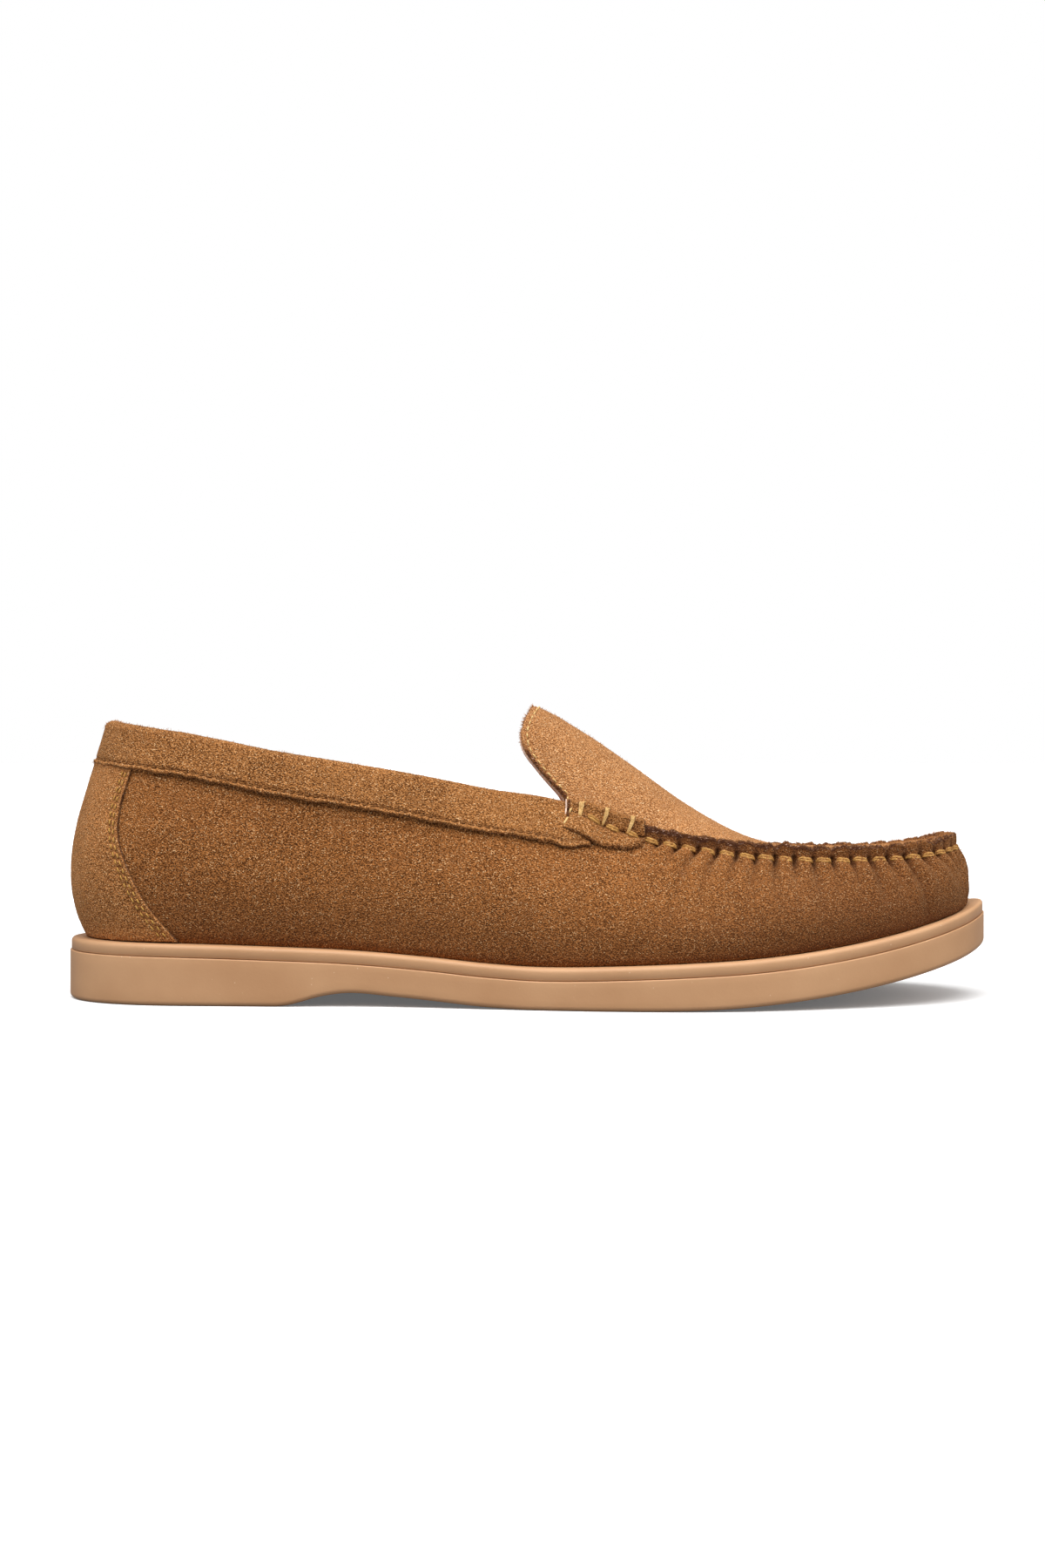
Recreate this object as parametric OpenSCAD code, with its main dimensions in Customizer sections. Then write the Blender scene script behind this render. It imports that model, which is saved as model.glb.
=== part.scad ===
// Slip-on moccasin for the right foot, on a rubber sole with a low heel.
// X runs from the heel to the toe, Y to the inner side of the foot and Z up.
// The origin is on the floor, under the middle of the sole. All sizes are in millimetres.

/* [Sole] */
// Length of the sole, heel to toe
sole_l = 295; // [245:1:355]
// Width of the sole across the ball of the foot
sole_w = 106; // [88:1:128]
// Thickness of the whole sole behind the ball of the foot
sole_t = 12.8; // [10:0.1:16]
// How much higher the back of the heel seat is than the ball
heel_rise = 6.7; // [4:0.1:12]
// How far the tip of the toe is lifted off the floor
toe_spring = 17.2; // [10:0.1:22]
// Height of the arch cut in front of the heel
arch_h = 4.3; // [2:0.1:6]
// Thickness of the midsole, which is the upper band of the sole's edge
midsole_t = 3.9; // [2.5:0.1:6]
// How far the midsole's edge stands in from the outsole's edge
band_step = 0.6; // [0.2:0.1:1.5]
// Radius of the outsole's lower edge
sole_edge_r = 1.6; // [0.8:0.1:2.5]

/* [Upper] */
// Height of the back of the wall above the floor
back_h = 86.2; // [76:0.2:104]
// Height of the wall at the throat, where the topline meets the plug
throat_h = 60.8; // [54:0.2:72]
// Height of the hand-sewn seam at its lowest, beside the toes
seam_h = 45.3; // [40:0.1:54]
// Height of the hand-sewn seam at the tip of the toe
toe_seam_h = 48.4; // [44:0.1:58]
// How much lower the inner side's topline and seam are than the outer side's
inner_drop = 1.6; // [0:0.1:4]
// Height of the middle of the tongue's back edge
tongue_h = 93; // [86:0.5:110]
// How far the tongue's back edge reaches behind the throat
tongue_cut = 14.9; // [8:0.1:20]
// Thickness of the suede wall and plug
suede_t = 1.6; // [1:0.1:2.2]
// Height of the raised seam above its stitches
lip_h = 4.2; // [2.5:0.1:6]
// Width of the wall's margin that is turned in under the insole board
margin_w = 13; // [8:0.5:18]

/* [Collar, tabs and heel patch] */
// Height of the collar band below the topline's roll
collar_w = 11.4; // [8:0.2:18]
// Height of the collar band inside the shoe
collar_in_w = 9; // [5:0.5:12]
// Thickness of the collar band's suede
collar_t = 1.2; // [0.8:0.1:1.8]
// Thickness of the throat tabs
tab_t = 1.1; // [0.8:0.1:1.6]
// Depth of a throat tab below the seam's stitches
tab_drop = 6.6; // [3:0.1:9]
// Thickness of the suede patch round the heel
patch_t = 1.1; // [0.8:0.1:1.8]

/* [Inside] */
// Thickness of the leather lining
lining_t = 1; // [0.6:0.1:1.5]
// Thickness of the heel stiffener at its middle
stiffener_t = 1.4; // [0.8:0.1:2.2]
// Thickness of the insole board
board_t = 2; // [1.2:0.1:3]
// Thickness of the sock liner
sock_t = 1.2; // [0.8:0.1:2]
// Thickness of the foam pad under the heel
pad_t = 3; // [1.5:0.1:5]
// Thickness of the steel shank
shank_t = 1.2; // [0.8:0.1:1.4]
// Width of the steel shank
shank_w = 14; // [8:0.5:18]
// Length of the steel shank
shank_l = 96; // [60:1:110]

/* [Stitches] */
// Thickness of the waxed thread of the hand-sewn seam
moc_thread_d = 1.1; // [0.7:0.1:1.6]
// Distance from one hand-sewn stitch to the next
moc_pitch = 6; // [4:0.1:9]
// Thickness of the machine thread
fine_thread_d = 0.5; // [0.3:0.05:0.8]
// Distance from one machine stitch to the next
fine_pitch = 2.6; // [2:0.1:4]
// Distance of the machine stitches from the edge that they hold
stitch_inset = 1.6; // [1.2:0.1:3]

/* [Hidden] */

gap = 0.12;             // clearance between flat pieces that are glued together
ply = 0.25;             // room for cement and cloth between curved layers
suede = "#a9743f";      // tan suede
gum = "#c79a70";        // gum rubber
hide = "#d9b49a";       // natural lining leather
thread = "#c79a4a";     // waxed yellow thread

// Stations round the sole's edge, from the heel by the outer side to the toe and back by the
// inner side. Each has x and y as shares of half the sole's length and width, then how far in
// from that edge the wall stands: at its base, its lower belly, its upper belly and its top.
stations = [
    [-1.000,  0.000, 6.6, -5.6, 6.5, 12.3],
    [-0.950, -0.380, 6.2, -5.0, 6.0, 11.8],
    [-0.815, -0.612, 5.5, -3.0, 5.0, 10.3],
    [-0.575, -0.680, 5.0, -1.0, 4.0,  9.5],
    [-0.305, -0.730, 4.5,  0.0, 4.5, 10.0],
    [-0.068, -0.850, 4.5,  0.0, 7.0, 16.0],
    [ 0.170, -0.970, 4.5,  0.0, 9.0, 21.5],
    [ 0.407, -0.995, 4.4,  0.5, 9.0, 21.5],
    [ 0.644, -0.860, 4.4,  1.0, 7.0, 17.5],
    [ 0.832, -0.655, 4.8,  2.0, 5.5, 13.5],
    [ 0.947, -0.360, 5.2,  3.5, 4.8, 10.2],
    [ 1.000,  0.080, 5.6,  4.4, 4.6,  9.0],
    [ 0.947,  0.480, 5.2,  3.5, 4.8, 10.2],
    [ 0.838,  0.760, 4.6,  1.5, 5.5, 14.0],
    [ 0.654,  0.940, 4.4,  0.8, 8.0, 19.0],
    [ 0.410,  0.990, 4.4,  0.8, 9.0, 20.5],
    [ 0.170,  0.830, 4.5,  0.5, 5.5, 13.8],
    [-0.068,  0.655, 4.0, -1.0, 2.0,  6.8],
    [-0.340,  0.590, 4.0, -1.5, 0.5,  4.4],
    [-0.610,  0.640, 4.5, -1.5, 2.5,  8.0],
    [-0.827,  0.580, 5.5, -3.0, 5.0, 10.3],
    [-0.955,  0.340, 6.2, -5.0, 6.0, 11.8]
];
turn = len(stations);   // stations in one turn round the sole
toe = turn / 2;         // station of the tip of the toe
throat = 5.52;          // stations from the back of the heel to the throat, on either side
tab_run = 0.72;         // stations that a throat tab covers

half_l = sole_l / 2;
half_w = sole_w / 2;
wall_in = suede_t + ply;                        // depth of the lining's outer face
collar_mid = (wall_in + lining_t) / 2;          // depth of the middle of the topline
board_z = 2 * gap + suede_t;                    // underside of the insole board above the seat
lining_z = board_z + board_t + gap;             // lower edge of the linings above the seat
plug_in = 2 * suede_t + ply;                    // depth of the plug's face beside the lip
plug_span = toe - throat;                       // stations from the toe to the throat
cup_run = 3.1;                                  // stations from the heel's back to the stiffener's ends
cup_top = 0.66;                                 // share of the wall's height at the stiffener's top

// ---- curves ----

function mix(a, b, t) = a + (b - a) * t;
function ease(t) = let (c = min(1, max(0, t))) c * c * (3 - 2 * c);
function bezier(a, b, c, d, t) = let (r = 1 - t)
    a * r * r * r + 3 * b * r * r * t + 3 * c * r * t * t + d * t * t * t;
function bezier_slope(a, b, c, d, t) = let (r = 1 - t)
    3 * ((b - a) * r * r + 2 * (c - b) * r * t + (d - c) * t * t);

// Smooth curve through a list of [x, value] points, level beyond its ends.
function span_of(tab, x, i = 0) = i >= len(tab) - 2 || x < tab[i + 1][0] ? i : span_of(tab, x, i + 1);
function secant(tab, i) = (tab[i + 1][1] - tab[i][1]) / (tab[i + 1][0] - tab[i][0]);
function knot_slope(tab, i) =
    i == 0 ? secant(tab, 0)
    : i == len(tab) - 1 ? secant(tab, i - 1)
    : (secant(tab, i - 1) + secant(tab, i)) / 2;
function curve(tab, at) =
    let (x = min(max(at, tab[0][0]), tab[len(tab) - 1][0]),
         i = span_of(tab, x), w = tab[i + 1][0] - tab[i][0], t = (x - tab[i][0]) / w)
    bezier(tab[i][1], tab[i][1] + knot_slope(tab, i) * w / 3,
           tab[i + 1][1] - knot_slope(tab, i + 1) * w / 3, tab[i + 1][1], t);

// Closed smooth curve through the stations, and its slope.
function row(i) = stations[(i + 2 * turn) % turn];
function ring(s) =
    let (i = floor(s), t = s - i, a = row(i - 1), b = row(i), c = row(i + 1), d = row(i + 2))
    0.5 * (2 * b + (c - a) * t + (2 * a - 5 * b + 4 * c - d) * t * t
           + (3 * b - a - 3 * c + d) * t * t * t);
function ring_slope(s) =
    let (i = floor(s), t = s - i, a = row(i - 1), b = row(i), c = row(i + 1), d = row(i + 2))
    0.5 * ((c - a) + 2 * (2 * a - 5 * b + 4 * c - d) * t + 3 * (3 * b - a - 3 * c + d) * t * t);

// ---- sole ----

// Height of the outsole's underside: level under heel and ball, cut up at the arch, lifted at the toe.
function spring_z(x) = toe_spring * pow(max(0, x / half_l - 0.2) / 0.8, 2.3);
function arch_z(x) = arch_h * curve([
    [-0.53, 0], [-0.505, 0.1], [-0.43, 0.78], [-0.376, 1], [-0.285, 0.78], [-0.195, 0.5],
    [-0.1, 0.18], [0, 0]], x / half_l);
function floor_z(x) = spring_z(x) + arch_z(x);
// Height of the sole's upper face, on which the upper stands.
function seat_z(x) = spring_z(x) + sole_t + 1.4 * ease(x / half_l / 0.4)
    + heel_rise * curve([[-1, 1], [-0.745, 0.925], [-0.56, 0.82], [-0.376, 0.66], [-0.195, 0.36],
                         [-0.1, 0.165], [0, 0.03], [0.08, 0]], x / half_l);

function edge_xy(s) = let (p = ring(s)) [p[0] * half_l, p[1] * half_w];
function inward_xy(s) =
    let (p = ring_slope(s), d = [p[0] * half_l, p[1] * half_w]) [-d[1], d[0]] / norm(d);
function inset_xy(s, inset) = edge_xy(s) + inset * inward_xy(s);
function base_inset(s) = ring(s)[2];

// ---- wall of the upper ----

// Height of the wall's top: the topline behind the throat, the stitches of the seam in front of it.
function top_z(x) = curve([
    [-0.93, back_h], [-0.745, mix(back_h, throat_h, 0.146)], [-0.525, mix(back_h, throat_h, 0.39)],
    [-0.3, mix(back_h, throat_h, 0.602)], [-0.085, mix(back_h, throat_h, 0.835)], [0.08, throat_h],
    [0.15, mix(throat_h, seam_h, 0.3)], [0.235, mix(throat_h, seam_h, 0.56)],
    [0.446, mix(throat_h, seam_h, 0.9)], [0.61, seam_h], [0.75, seam_h], [0.84, seam_h + 0.9],
    [0.95, toe_seam_h]], x / half_l);

// How far the inner side's top lies below the outer side's, by station.
function inner_dip(s) =
    let (u = (s + turn) % turn) inner_drop * ease((u - 11.3) / 1.5) * ease((21.8 - u) / 2);

// A point of the wall's outer face at share v of its height, moved in by depth and on up by rise.
function wall_pt(s, v, depth = 0, rise = 0) =
    let (k = ring(s), in = inward_xy(s), e = edge_xy(s),
         z0 = seat_z(e[0] + in[0] * k[2]) + gap, z1 = top_z(e[0] + in[0] * k[5]) - inner_dip(s),
         slope = bezier_slope(k[2], k[3], k[4], k[5], v),
         t = [slope, z1 - z0] / norm([slope, z1 - z0]),
         out = bezier(k[2], k[3], k[4], k[5], v) + depth * t[1] + rise * t[0])
    [e[0] + in[0] * out, e[1] + in[1] * out, mix(z0, z1, v) - depth * t[0] + rise * t[1]];
// A point beside the raised lip of the seam, which stands straight up from the wall's top.
function lip_pt(s, depth, up) =
    let (t = wall_pt(s, 1), in = inward_xy(s))
    [t[0] + in[0] * depth, t[1] + in[1] * depth, t[2] + up];
// Height of the lip at a station: almost none along the topline, all of it in front of the throat.
function lip_at(s) = 0.1 + (lip_h - 0.1) * ease((plug_span - abs(s - toe)) / 0.25);
function wall_height(s) = let (t = wall_pt(s, 1), b = wall_pt(s, 0)) t[2] - b[2];
// Share of the wall's height at a distance below its top, and at a height above its base.
function below_top(s, d) = 1 - d / wall_height(s);
function above_base(s, d) = d / wall_height(s);

// ---- plug ----

// Height of the plug's middle line.
function crest_z(x) = curve([
    [-0.06, tongue_h + 3], [0.02, tongue_h], [0.112, mix(tongue_h, seam_h, 0.15)],
    [0.226, mix(tongue_h, seam_h, 0.39)], [0.34, mix(tongue_h, seam_h, 0.645)],
    [0.455, mix(tongue_h, seam_h, 0.845)], [0.53, seam_h + 3.8], [0.62, seam_h + 2.9],
    [0.77, seam_h + 3.4], [0.9, toe_seam_h + 1.8], [0.93, toe_seam_h + 1.2]], x / half_l);
// How far behind the throat the tongue's back edge lies, by share q across the tongue.
function tongue_back(q) = tongue_cut * curve([
    [0, 0.725], [0.1, 0.745], [0.24, 0.846], [0.35, 0.953], [0.42, 1], [0.51, 0.926], [0.59, 0.685],
    [0.68, 0.376], [0.75, 0.161], [0.84, 0.054], [1, 0.02]], abs(q));
// A point of the plug's face. Share p runs from the toe, 0, to the throat, 1, and on to the
// tongue's edge, 2. Share q runs across, from -1 at the outer seam to 1 at the inner seam.
function plug_pt(p, q, depth = 0) =
    let (d = mix(0.03, plug_span, min(p, 1)), a = lip_pt(toe - d, plug_in, 0),
         b = lip_pt(toe + d, plug_in, 0), w = sin(90 * q), power = mix(2, 2.5, ease((p - 0.4) / 0.5)),
         x = mix(a[0], b[0], (1 + w) / 2) - max(0, p - 1) * tongue_back(q),
         half = (b[1] - a[1]) / 2, z0 = mix(a[2], b[2], (1 + w) / 2), rise = max(0.2, crest_z(x) - z0),
         n = [half, -rise * power * pow(abs(w), power - 1) * sign(w)], u = n / norm(n))
    [x, (a[1] + b[1]) / 2 + half * w + depth * u[1], z0 + rise * (1 - pow(abs(w), power)) - depth * u[0]];

// ---- solids ----

function flat(lists) = [for (l = lists) each l];
function quad(a, b, c, d) = [[a, b, c], [a, c, d]];

// Closed solid between two grids of points that have the same rows and columns.
module shell(outer, inner) {
    m = len(outer);
    n = len(outer[0]);
    o = function (i, j) i * n + j;
    k = function (i, j) m * n + i * n + j;
    faces = concat(
        [for (i = [0:m-2], j = [0:n-2]) each quad(o(i, j), o(i, j+1), o(i+1, j+1), o(i+1, j))],
        [for (i = [0:m-2], j = [0:n-2]) each quad(k(i, j), k(i+1, j), k(i+1, j+1), k(i, j+1))],
        [for (i = [0:m-2]) each quad(o(i, 0), o(i+1, 0), k(i+1, 0), k(i, 0))],
        [for (i = [0:m-2]) each quad(o(i+1, n-1), o(i, n-1), k(i, n-1), k(i+1, n-1))],
        [for (j = [0:n-2]) each quad(o(0, j+1), o(0, j), k(0, j), k(0, j+1))],
        [for (j = [0:n-2]) each quad(o(m-1, j), o(m-1, j+1), k(m-1, j+1), k(m-1, j))]);
    polyhedron(concat(flat(outer), flat(inner)), faces, convexity = 8);
}

// Closed solid through a row of loops. Each loop runs down the outer side and back up the inner one.
module loft(loops) {
    m = len(loops);
    n = len(loops[0]);
    h = n / 2;
    faces = concat(
        [for (i = [0:m-2], j = [0:n-1]) each quad(
            i * n + j, i * n + (j + 1) % n, (i + 1) * n + (j + 1) % n, (i + 1) * n + j)],
        [for (j = [0:h-2]) each quad(j + 1, j, n - 1 - j, n - 2 - j)],
        [for (j = [0:h-2], e = (m - 1) * n) each quad(e + j, e + j + 1, e + n - 2 - j, e + n - 1 - j)]);
    polyhedron(flat(loops), faces, convexity = 4);
}

// Every fifth of a station between two stations, so that layers bend at the same places.
function stops(s0, s1) = concat(s0, [for (k = [floor(5 * s0) + 1:ceil(5 * s1) - 1]) k / 5], s1);

// Flat layer of the bottom, from station distance d0 to d1 behind the toe. Its edge is a list of
// [inset, height as a function of x] rows from the top down. The inset counts from the sole's
// edge, or from the wall's base if inside is true.
module layer(d0, d1, rows, inside = true) {
    n = len(rows);
    at = function (s, r)
        let (p = inset_xy(s, r[0] + (inside ? base_inset(s) : 0))) [p[0], p[1], r[1](p[0])];
    loft([for (d = stops(d0, d1)) concat(
        [for (r = rows) at(toe - d, r)], [for (j = [n-1:-1:0]) at(toe + d, rows[j])])]);
}

// Round rod between two points, for a stitch.
module rod(a, b, d) {
    v = b - a;
    translate(a)
        rotate([0, acos(v[2] / norm(v)), atan2(v[1], v[0])])
            cylinder(h = norm(v), d = d, $fn = 24);
}

// Stations from s0 to s1 that lie one pitch apart along a line, given as a function of the station.
function walk(line, s0, s1, pitch) =
    [for (s = s0; s < s1; s = s + 0.04 * pitch / norm(line(s + 0.04) - line(s))) s];

// Row of stitches along a line. Each stitch is a rod that fills a share of the pitch.
module stitch_row(line, s0, s1, pitch, d, share) {
    marks = walk(line, s0, s1, pitch);
    for (i = [0:len(marks)-2])
        rod(line(marks[i]), line(mix(marks[i], marks[i + 1], share)), d);
}

// ---- bottom ----

module outsole() {
    low = [for (a = [0:22.5:90]) [sole_edge_r * (1 - cos(a)), sole_edge_r * (1 - sin(a))]];
    color(gum)
        layer(0.02, toe - 0.02, concat(
            [[0.5, function (x) seat_z(x) - midsole_t - gap],
             [0, function (x) seat_z(x) - midsole_t - gap - 0.5]],
            [for (p = low) [p[0], function (x) floor_z(x) + p[1]]]), inside = false);
}

module midsole() {
    color(gum)
        layer(0.02, toe - 0.02, [
            [band_step + 0.4, function (x) seat_z(x)],
            [band_step, function (x) seat_z(x) - 0.4],
            [band_step, function (x) seat_z(x) - midsole_t]], inside = false);
}

// Cork filler that levels the hollow inside the turned-in margin, cut out for the shank.
module bottom_filler() {
    inset = margin_w + 0.5;
    color("#8a6a4a")
        difference() {
            layer(0.3, toe - 0.3, [
                [inset, function (x) seat_z(x) + gap + suede_t],
                [inset, function (x) seat_z(x) + gap]]);
            shank_body(0.3, 3);
        }
}

// Strip along the waist, grown by a margin on each side, between two heights above the seat.
module shank_body(grow, z1) {
    x0 = -0.6 * half_l - grow;
    x1 = x0 + shank_l + 2 * grow;
    w = shank_w / 2 + grow;
    at = function (i, y, z) let (x = mix(x1, x0, i / 24)) [x, y, seat_z(x) + z];
    z0 = grow > 0 ? -1 : gap;
    loft([for (i = [0:24]) [at(i, -w, z1), at(i, -w, z0), at(i, w, z0), at(i, w, z1)]]);
}

module shank() {
    color("#8f959b")
        shank_body(0, gap + shank_t);
}

module insole_board() {
    inset = suede_t + 0.4;
    color("#b8956a")
        layer(0.05, toe - 0.05, [
            [inset, function (x) seat_z(x) + board_z + board_t],
            [inset, function (x) seat_z(x) + board_z]]);
}

// Height of the sock liner's underside above the seat, which steps up over the heel pad.
function pad_top(x) = lining_z + 0.4 * ease((-0.2 - x / half_l) / 0.08)
    + (pad_t - 0.4) * ease((-0.3 - x / half_l) / 0.3);
sock_inset = suede_t + lining_t + 0.6;

module heel_pad() {
    color("#e0d7c5")
        layer(7.25, toe - 0.05, [
            [sock_inset + 0.6, function (x) seat_z(x) + pad_top(x) - gap],
            [sock_inset + 0.6, function (x) seat_z(x) + lining_z]]);
}

module sock_liner() {
    color(hide)
        layer(0.05, toe - 0.05, [
            [sock_inset, function (x) seat_z(x) + pad_top(x) + sock_t],
            [sock_inset, function (x) seat_z(x) + pad_top(x)]]);
}

// ---- upper ----

// One piece of suede for vamp and quarters: the margin turned in under the board, the wall, and
// the edge turned up outside the plug's as the raised lip. Its two ends meet behind the heel.
module vamp_wall() {
    at = stops(0.004, turn - 0.004);
    v = [0.03, 0.1, 0.2, 0.34, 0.5, 0.66, 0.82, 0.94];
    floor_pt = function (s, inset, up)
        let (p = inset_xy(s, base_inset(s) + inset)) [p[0], p[1], seat_z(p[0]) + gap + up];
    line = function (s, depth, up) concat(
        [floor_pt(s, margin_w, up), floor_pt(s, 1.2, up)],
        [for (h = v) wall_pt(s, h, depth)],
        [lip_pt(s, depth, -0.2), lip_pt(s, depth, lip_at(s))]);
    color(suede)
        shell([for (s = at) line(s, 0, 0)], [for (s = at) line(s, suede_t, suede_t)]);
}

// Station and share grid of the plug: p toe to tongue edge, q across.
plug_p = concat([for (d = stops(0.03, plug_span)) (d - 0.03) / (plug_span - 0.03)], [1.25, 1.5, 1.75, 2]);
plug_q = [for (i = [-7:7]) i / 8];

// Top of the foot and tongue in one piece. Its edge is turned up inside the wall's as the lip.
module plug() {
    station = function (p, side) toe + side * mix(0.03, plug_span, min(p, 1));
    lip = function (p, side, depth, up) let (s = station(p, side), keep = p > 1 ? 1 : lip_at(s))
        lip_pt(s, depth, up > 0 ? (p > 1 ? 0.4 : lip_at(s)) : up) - [max(0, p - 1) * tongue_back(1), 0, 0];
    line = function (p, depth, foot) concat(
        [lip(p, -1, plug_in - depth, 1), lip(p, -1, plug_in - depth, foot)],
        [for (q = plug_q) plug_pt(p, q, depth)],
        [lip(p, 1, plug_in - depth, foot), lip(p, 1, plug_in - depth, 1)]);
    color(suede)
        shell([for (p = plug_p) line(p, 0, 0)], [for (p = plug_p) line(p, suede_t, -1.2)]);
}

module plug_lining() {
    grid = function (depth) [for (i = [3:len(plug_p)-1])
        [for (k = [1:len(plug_q)-2]) plug_pt(plug_p[i], plug_q[k], depth)]];
    color(hide)
        shell(grid(suede_t + ply), grid(suede_t + ply + lining_t));
}

// Room that the lining leaves for the heel stiffener.
function cup_room(s, v) = let (u = min((s + turn) % turn, (turn - s) % turn))
    (stiffener_t + ply) * ease((cup_run + 0.6 - u) / 0.5) * ease((cup_top + 0.11 - v) / 0.1);

// Leather lining between two stations, from the insole board up to a distance below the top.
module lining(s0, s1, drop) {
    at = stops(s0, s1);
    line = function (s, depth) [for (k = [0:7])
        let (v = mix(above_base(s, lining_z), below_top(s, drop), k / 7))
        wall_pt(s, v, depth + cup_room(s, v))];
    color(hide)
        shell([for (s = at) line(s, wall_in)], [for (s = at) line(s, wall_in + lining_t)]);
}

module vamp_lining() {
    lining(throat + 0.03, turn - throat - 0.03, 2.6);
}

module quarter_lining() {
    lining(-throat, throat, 0);
}

// ---- heel ----

// Station of the patch's front edge at share v of the wall's height.
function patch_s(v) = curve([
    [0, 2.36], [0.18, 2.05], [0.36, 1.8], [0.5, 1.64], [0.62, 1.6], [0.75, 1.66], [1, 1.85]], v);

// Suede patch round the back of the heel, which covers the joint of the wall's two ends.
module heel_patch() {
    v = function (s, k) mix(0.012, below_top(s, collar_w + 0.3), k / 10);
    line = function (t, depth) [for (k = [0:10])
        let (v0 = v(0, k), s = t * patch_s(v0)) wall_pt(s, v(s, k), depth)];
    color("#a06c3a")
        shell([for (i = [-15:15]) line(i / 15, -ply - patch_t)], [for (i = [-15:15]) line(i / 15, -ply)]);
}

// Stiff cup round the heel, between the wall and the lining. It is skived thin at its edges.
module heel_stiffener() {
    line = function (s, thick) [for (k = [0:7])
        let (v = mix(above_base(s, lining_z), cup_top, k / 7), edge = max(abs(s / cup_run), k / 7))
        wall_pt(s, v, wall_in + thick * (1 - 0.7 * pow(edge, 6)))];
    color("#cbb193")
        shell([for (s = stops(-cup_run, cup_run)) line(s, 0)],
              [for (s = stops(-cup_run, cup_run)) line(s, stiffener_t)]);
}

// ---- collar and tabs ----

// Folded strip over the topline, from one throat round the heel to the other.
module collar_band() {
    at = stops(-throat, throat);
    line = function (s, grow)
        let (r = collar_mid + ply + grow)
        concat(
            [for (k = [0:3]) wall_pt(s, mix(below_top(s, collar_w), 1, k / 3.5), collar_mid - r)],
            [for (a = [0:30:180]) wall_pt(s, 1, collar_mid - r * cos(a), r * sin(a))],
            [for (k = [3:-1:0]) wall_pt(s, mix(below_top(s, collar_in_w), 1, k / 3.5), collar_mid + r)]);
    color("#a8734a")
        shell([for (s = at) line(s, collar_t)], [for (s = at) line(s, 0)]);
}

// Short strip folded over the start of the raised seam. Side is -1 for the outer one.
module throat_tab(side) {
    drop = function (t) tab_drop * curve([[0, 1.05], [0.35, 1.08], [0.65, 0.92], [0.88, 0.6], [1, 0.2]], t);
    line = function (t, grow)
        let (s = toe + side * (plug_span - 0.03 - tab_run * t), out = ply + grow, h = lip_at(s) + 2 * ply)
        concat(
            [for (k = [0:3]) wall_pt(s, mix(below_top(s, drop(t)), 1, k / 3.2), -out)],
            [lip_pt(s, -out, 0.4), lip_pt(s, -out, h + 0.4 * grow), lip_pt(s, -0.5 * out, h + grow),
             lip_pt(s, plug_in, h + grow)]);
    color("#a8734a")
        shell([for (i = [0:12]) line(i / 12, tab_t)], [for (i = [0:12]) line(i / 12, 0)]);
}

module outer_throat_tab() {
    throat_tab(-1);
}

module inner_throat_tab() {
    throat_tab(1);
}

// ---- stitches ----

// Thick thread of the hand-sewn seam: one stitch at a time on the wall, below the lip.
module moccasin_stitches() {
    lift = ply + moc_thread_d / 2;
    color(thread)
        stitch_row(function (s) wall_pt(s, below_top(s, 0.4), -lift),
                   throat + tab_run + 0.1, turn - throat - tab_run - 0.1, moc_pitch, moc_thread_d, 0.7);
}

// Stitches that wrap over the tabs.
module whip_stitches() {
    lift = tab_t + 2 * ply + moc_thread_d / 2;
    color(thread)
        for (side = [-1, 1], t = [0.16, 0.5, 0.84]) {
            s = toe + side * (plug_span - 0.03 - tab_run * t);
            top = lip_at(s) + lift + 0.4;
            rod(wall_pt(s, below_top(s, 0.4 * tab_drop), -lift), lip_pt(s, -lift, lip_at(s) + 0.3),
                moc_thread_d);
            rod(lip_pt(s, 0, top), lip_pt(s, plug_in, top), moc_thread_d);
        }
}

module collar_stitches() {
    color(thread)
        stitch_row(function (s) wall_pt(s, below_top(s, collar_w - stitch_inset),
                                        -collar_t - 1.6 * ply - fine_thread_d / 2),
                   -throat + 0.03, throat, fine_pitch, fine_thread_d, 0.6);
}

// Two rows behind each front edge of the heel patch.
module heel_patch_stitches() {
    lift = patch_t + 1.6 * ply + fine_thread_d / 2;
    color(thread)
        for (side = [-1, 1], back = [stitch_inset, 2 * stitch_inset])
            stitch_row(function (v) wall_pt(side * (patch_s(v) - back / 24), v, -lift),
                       0.04, below_top(1.7, collar_w + 1), fine_pitch, fine_thread_d, 0.6);
}

// Stitches along the tongue's back edge, which hold its lining.
module tongue_stitches() {
    lift = (ply + fine_thread_d) / 2;
    line = function (q) plug_pt(2 - stitch_inset / max(tongue_back(q), 2), q, -lift);
    color(thread)
        stitch_row(line, -0.8, 0.8, fine_pitch, fine_thread_d, 0.6);
}

outsole();
midsole();
bottom_filler();
shank();
insole_board();
heel_pad();
sock_liner();
vamp_wall();
plug();
plug_lining();
vamp_lining();
quarter_lining();
heel_stiffener();
heel_patch();
collar_band();
outer_throat_tab();
inner_throat_tab();
moccasin_stitches();
whip_stitches();
collar_stitches();
heel_patch_stitches();
tongue_stitches();
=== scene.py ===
"""Looks of a tan suede slip-on moccasin on a gum rubber sole.

Every new piece is a surface worked out on a grid of two parameters, in millimetres, in the frame of
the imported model: X from heel to toe, Y to the inner side, Z up. Stations s run round the sole's
edge: 0 at the back of the heel, 11 at the tip of the toe, 22 at the heel again.
"""
import math

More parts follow.
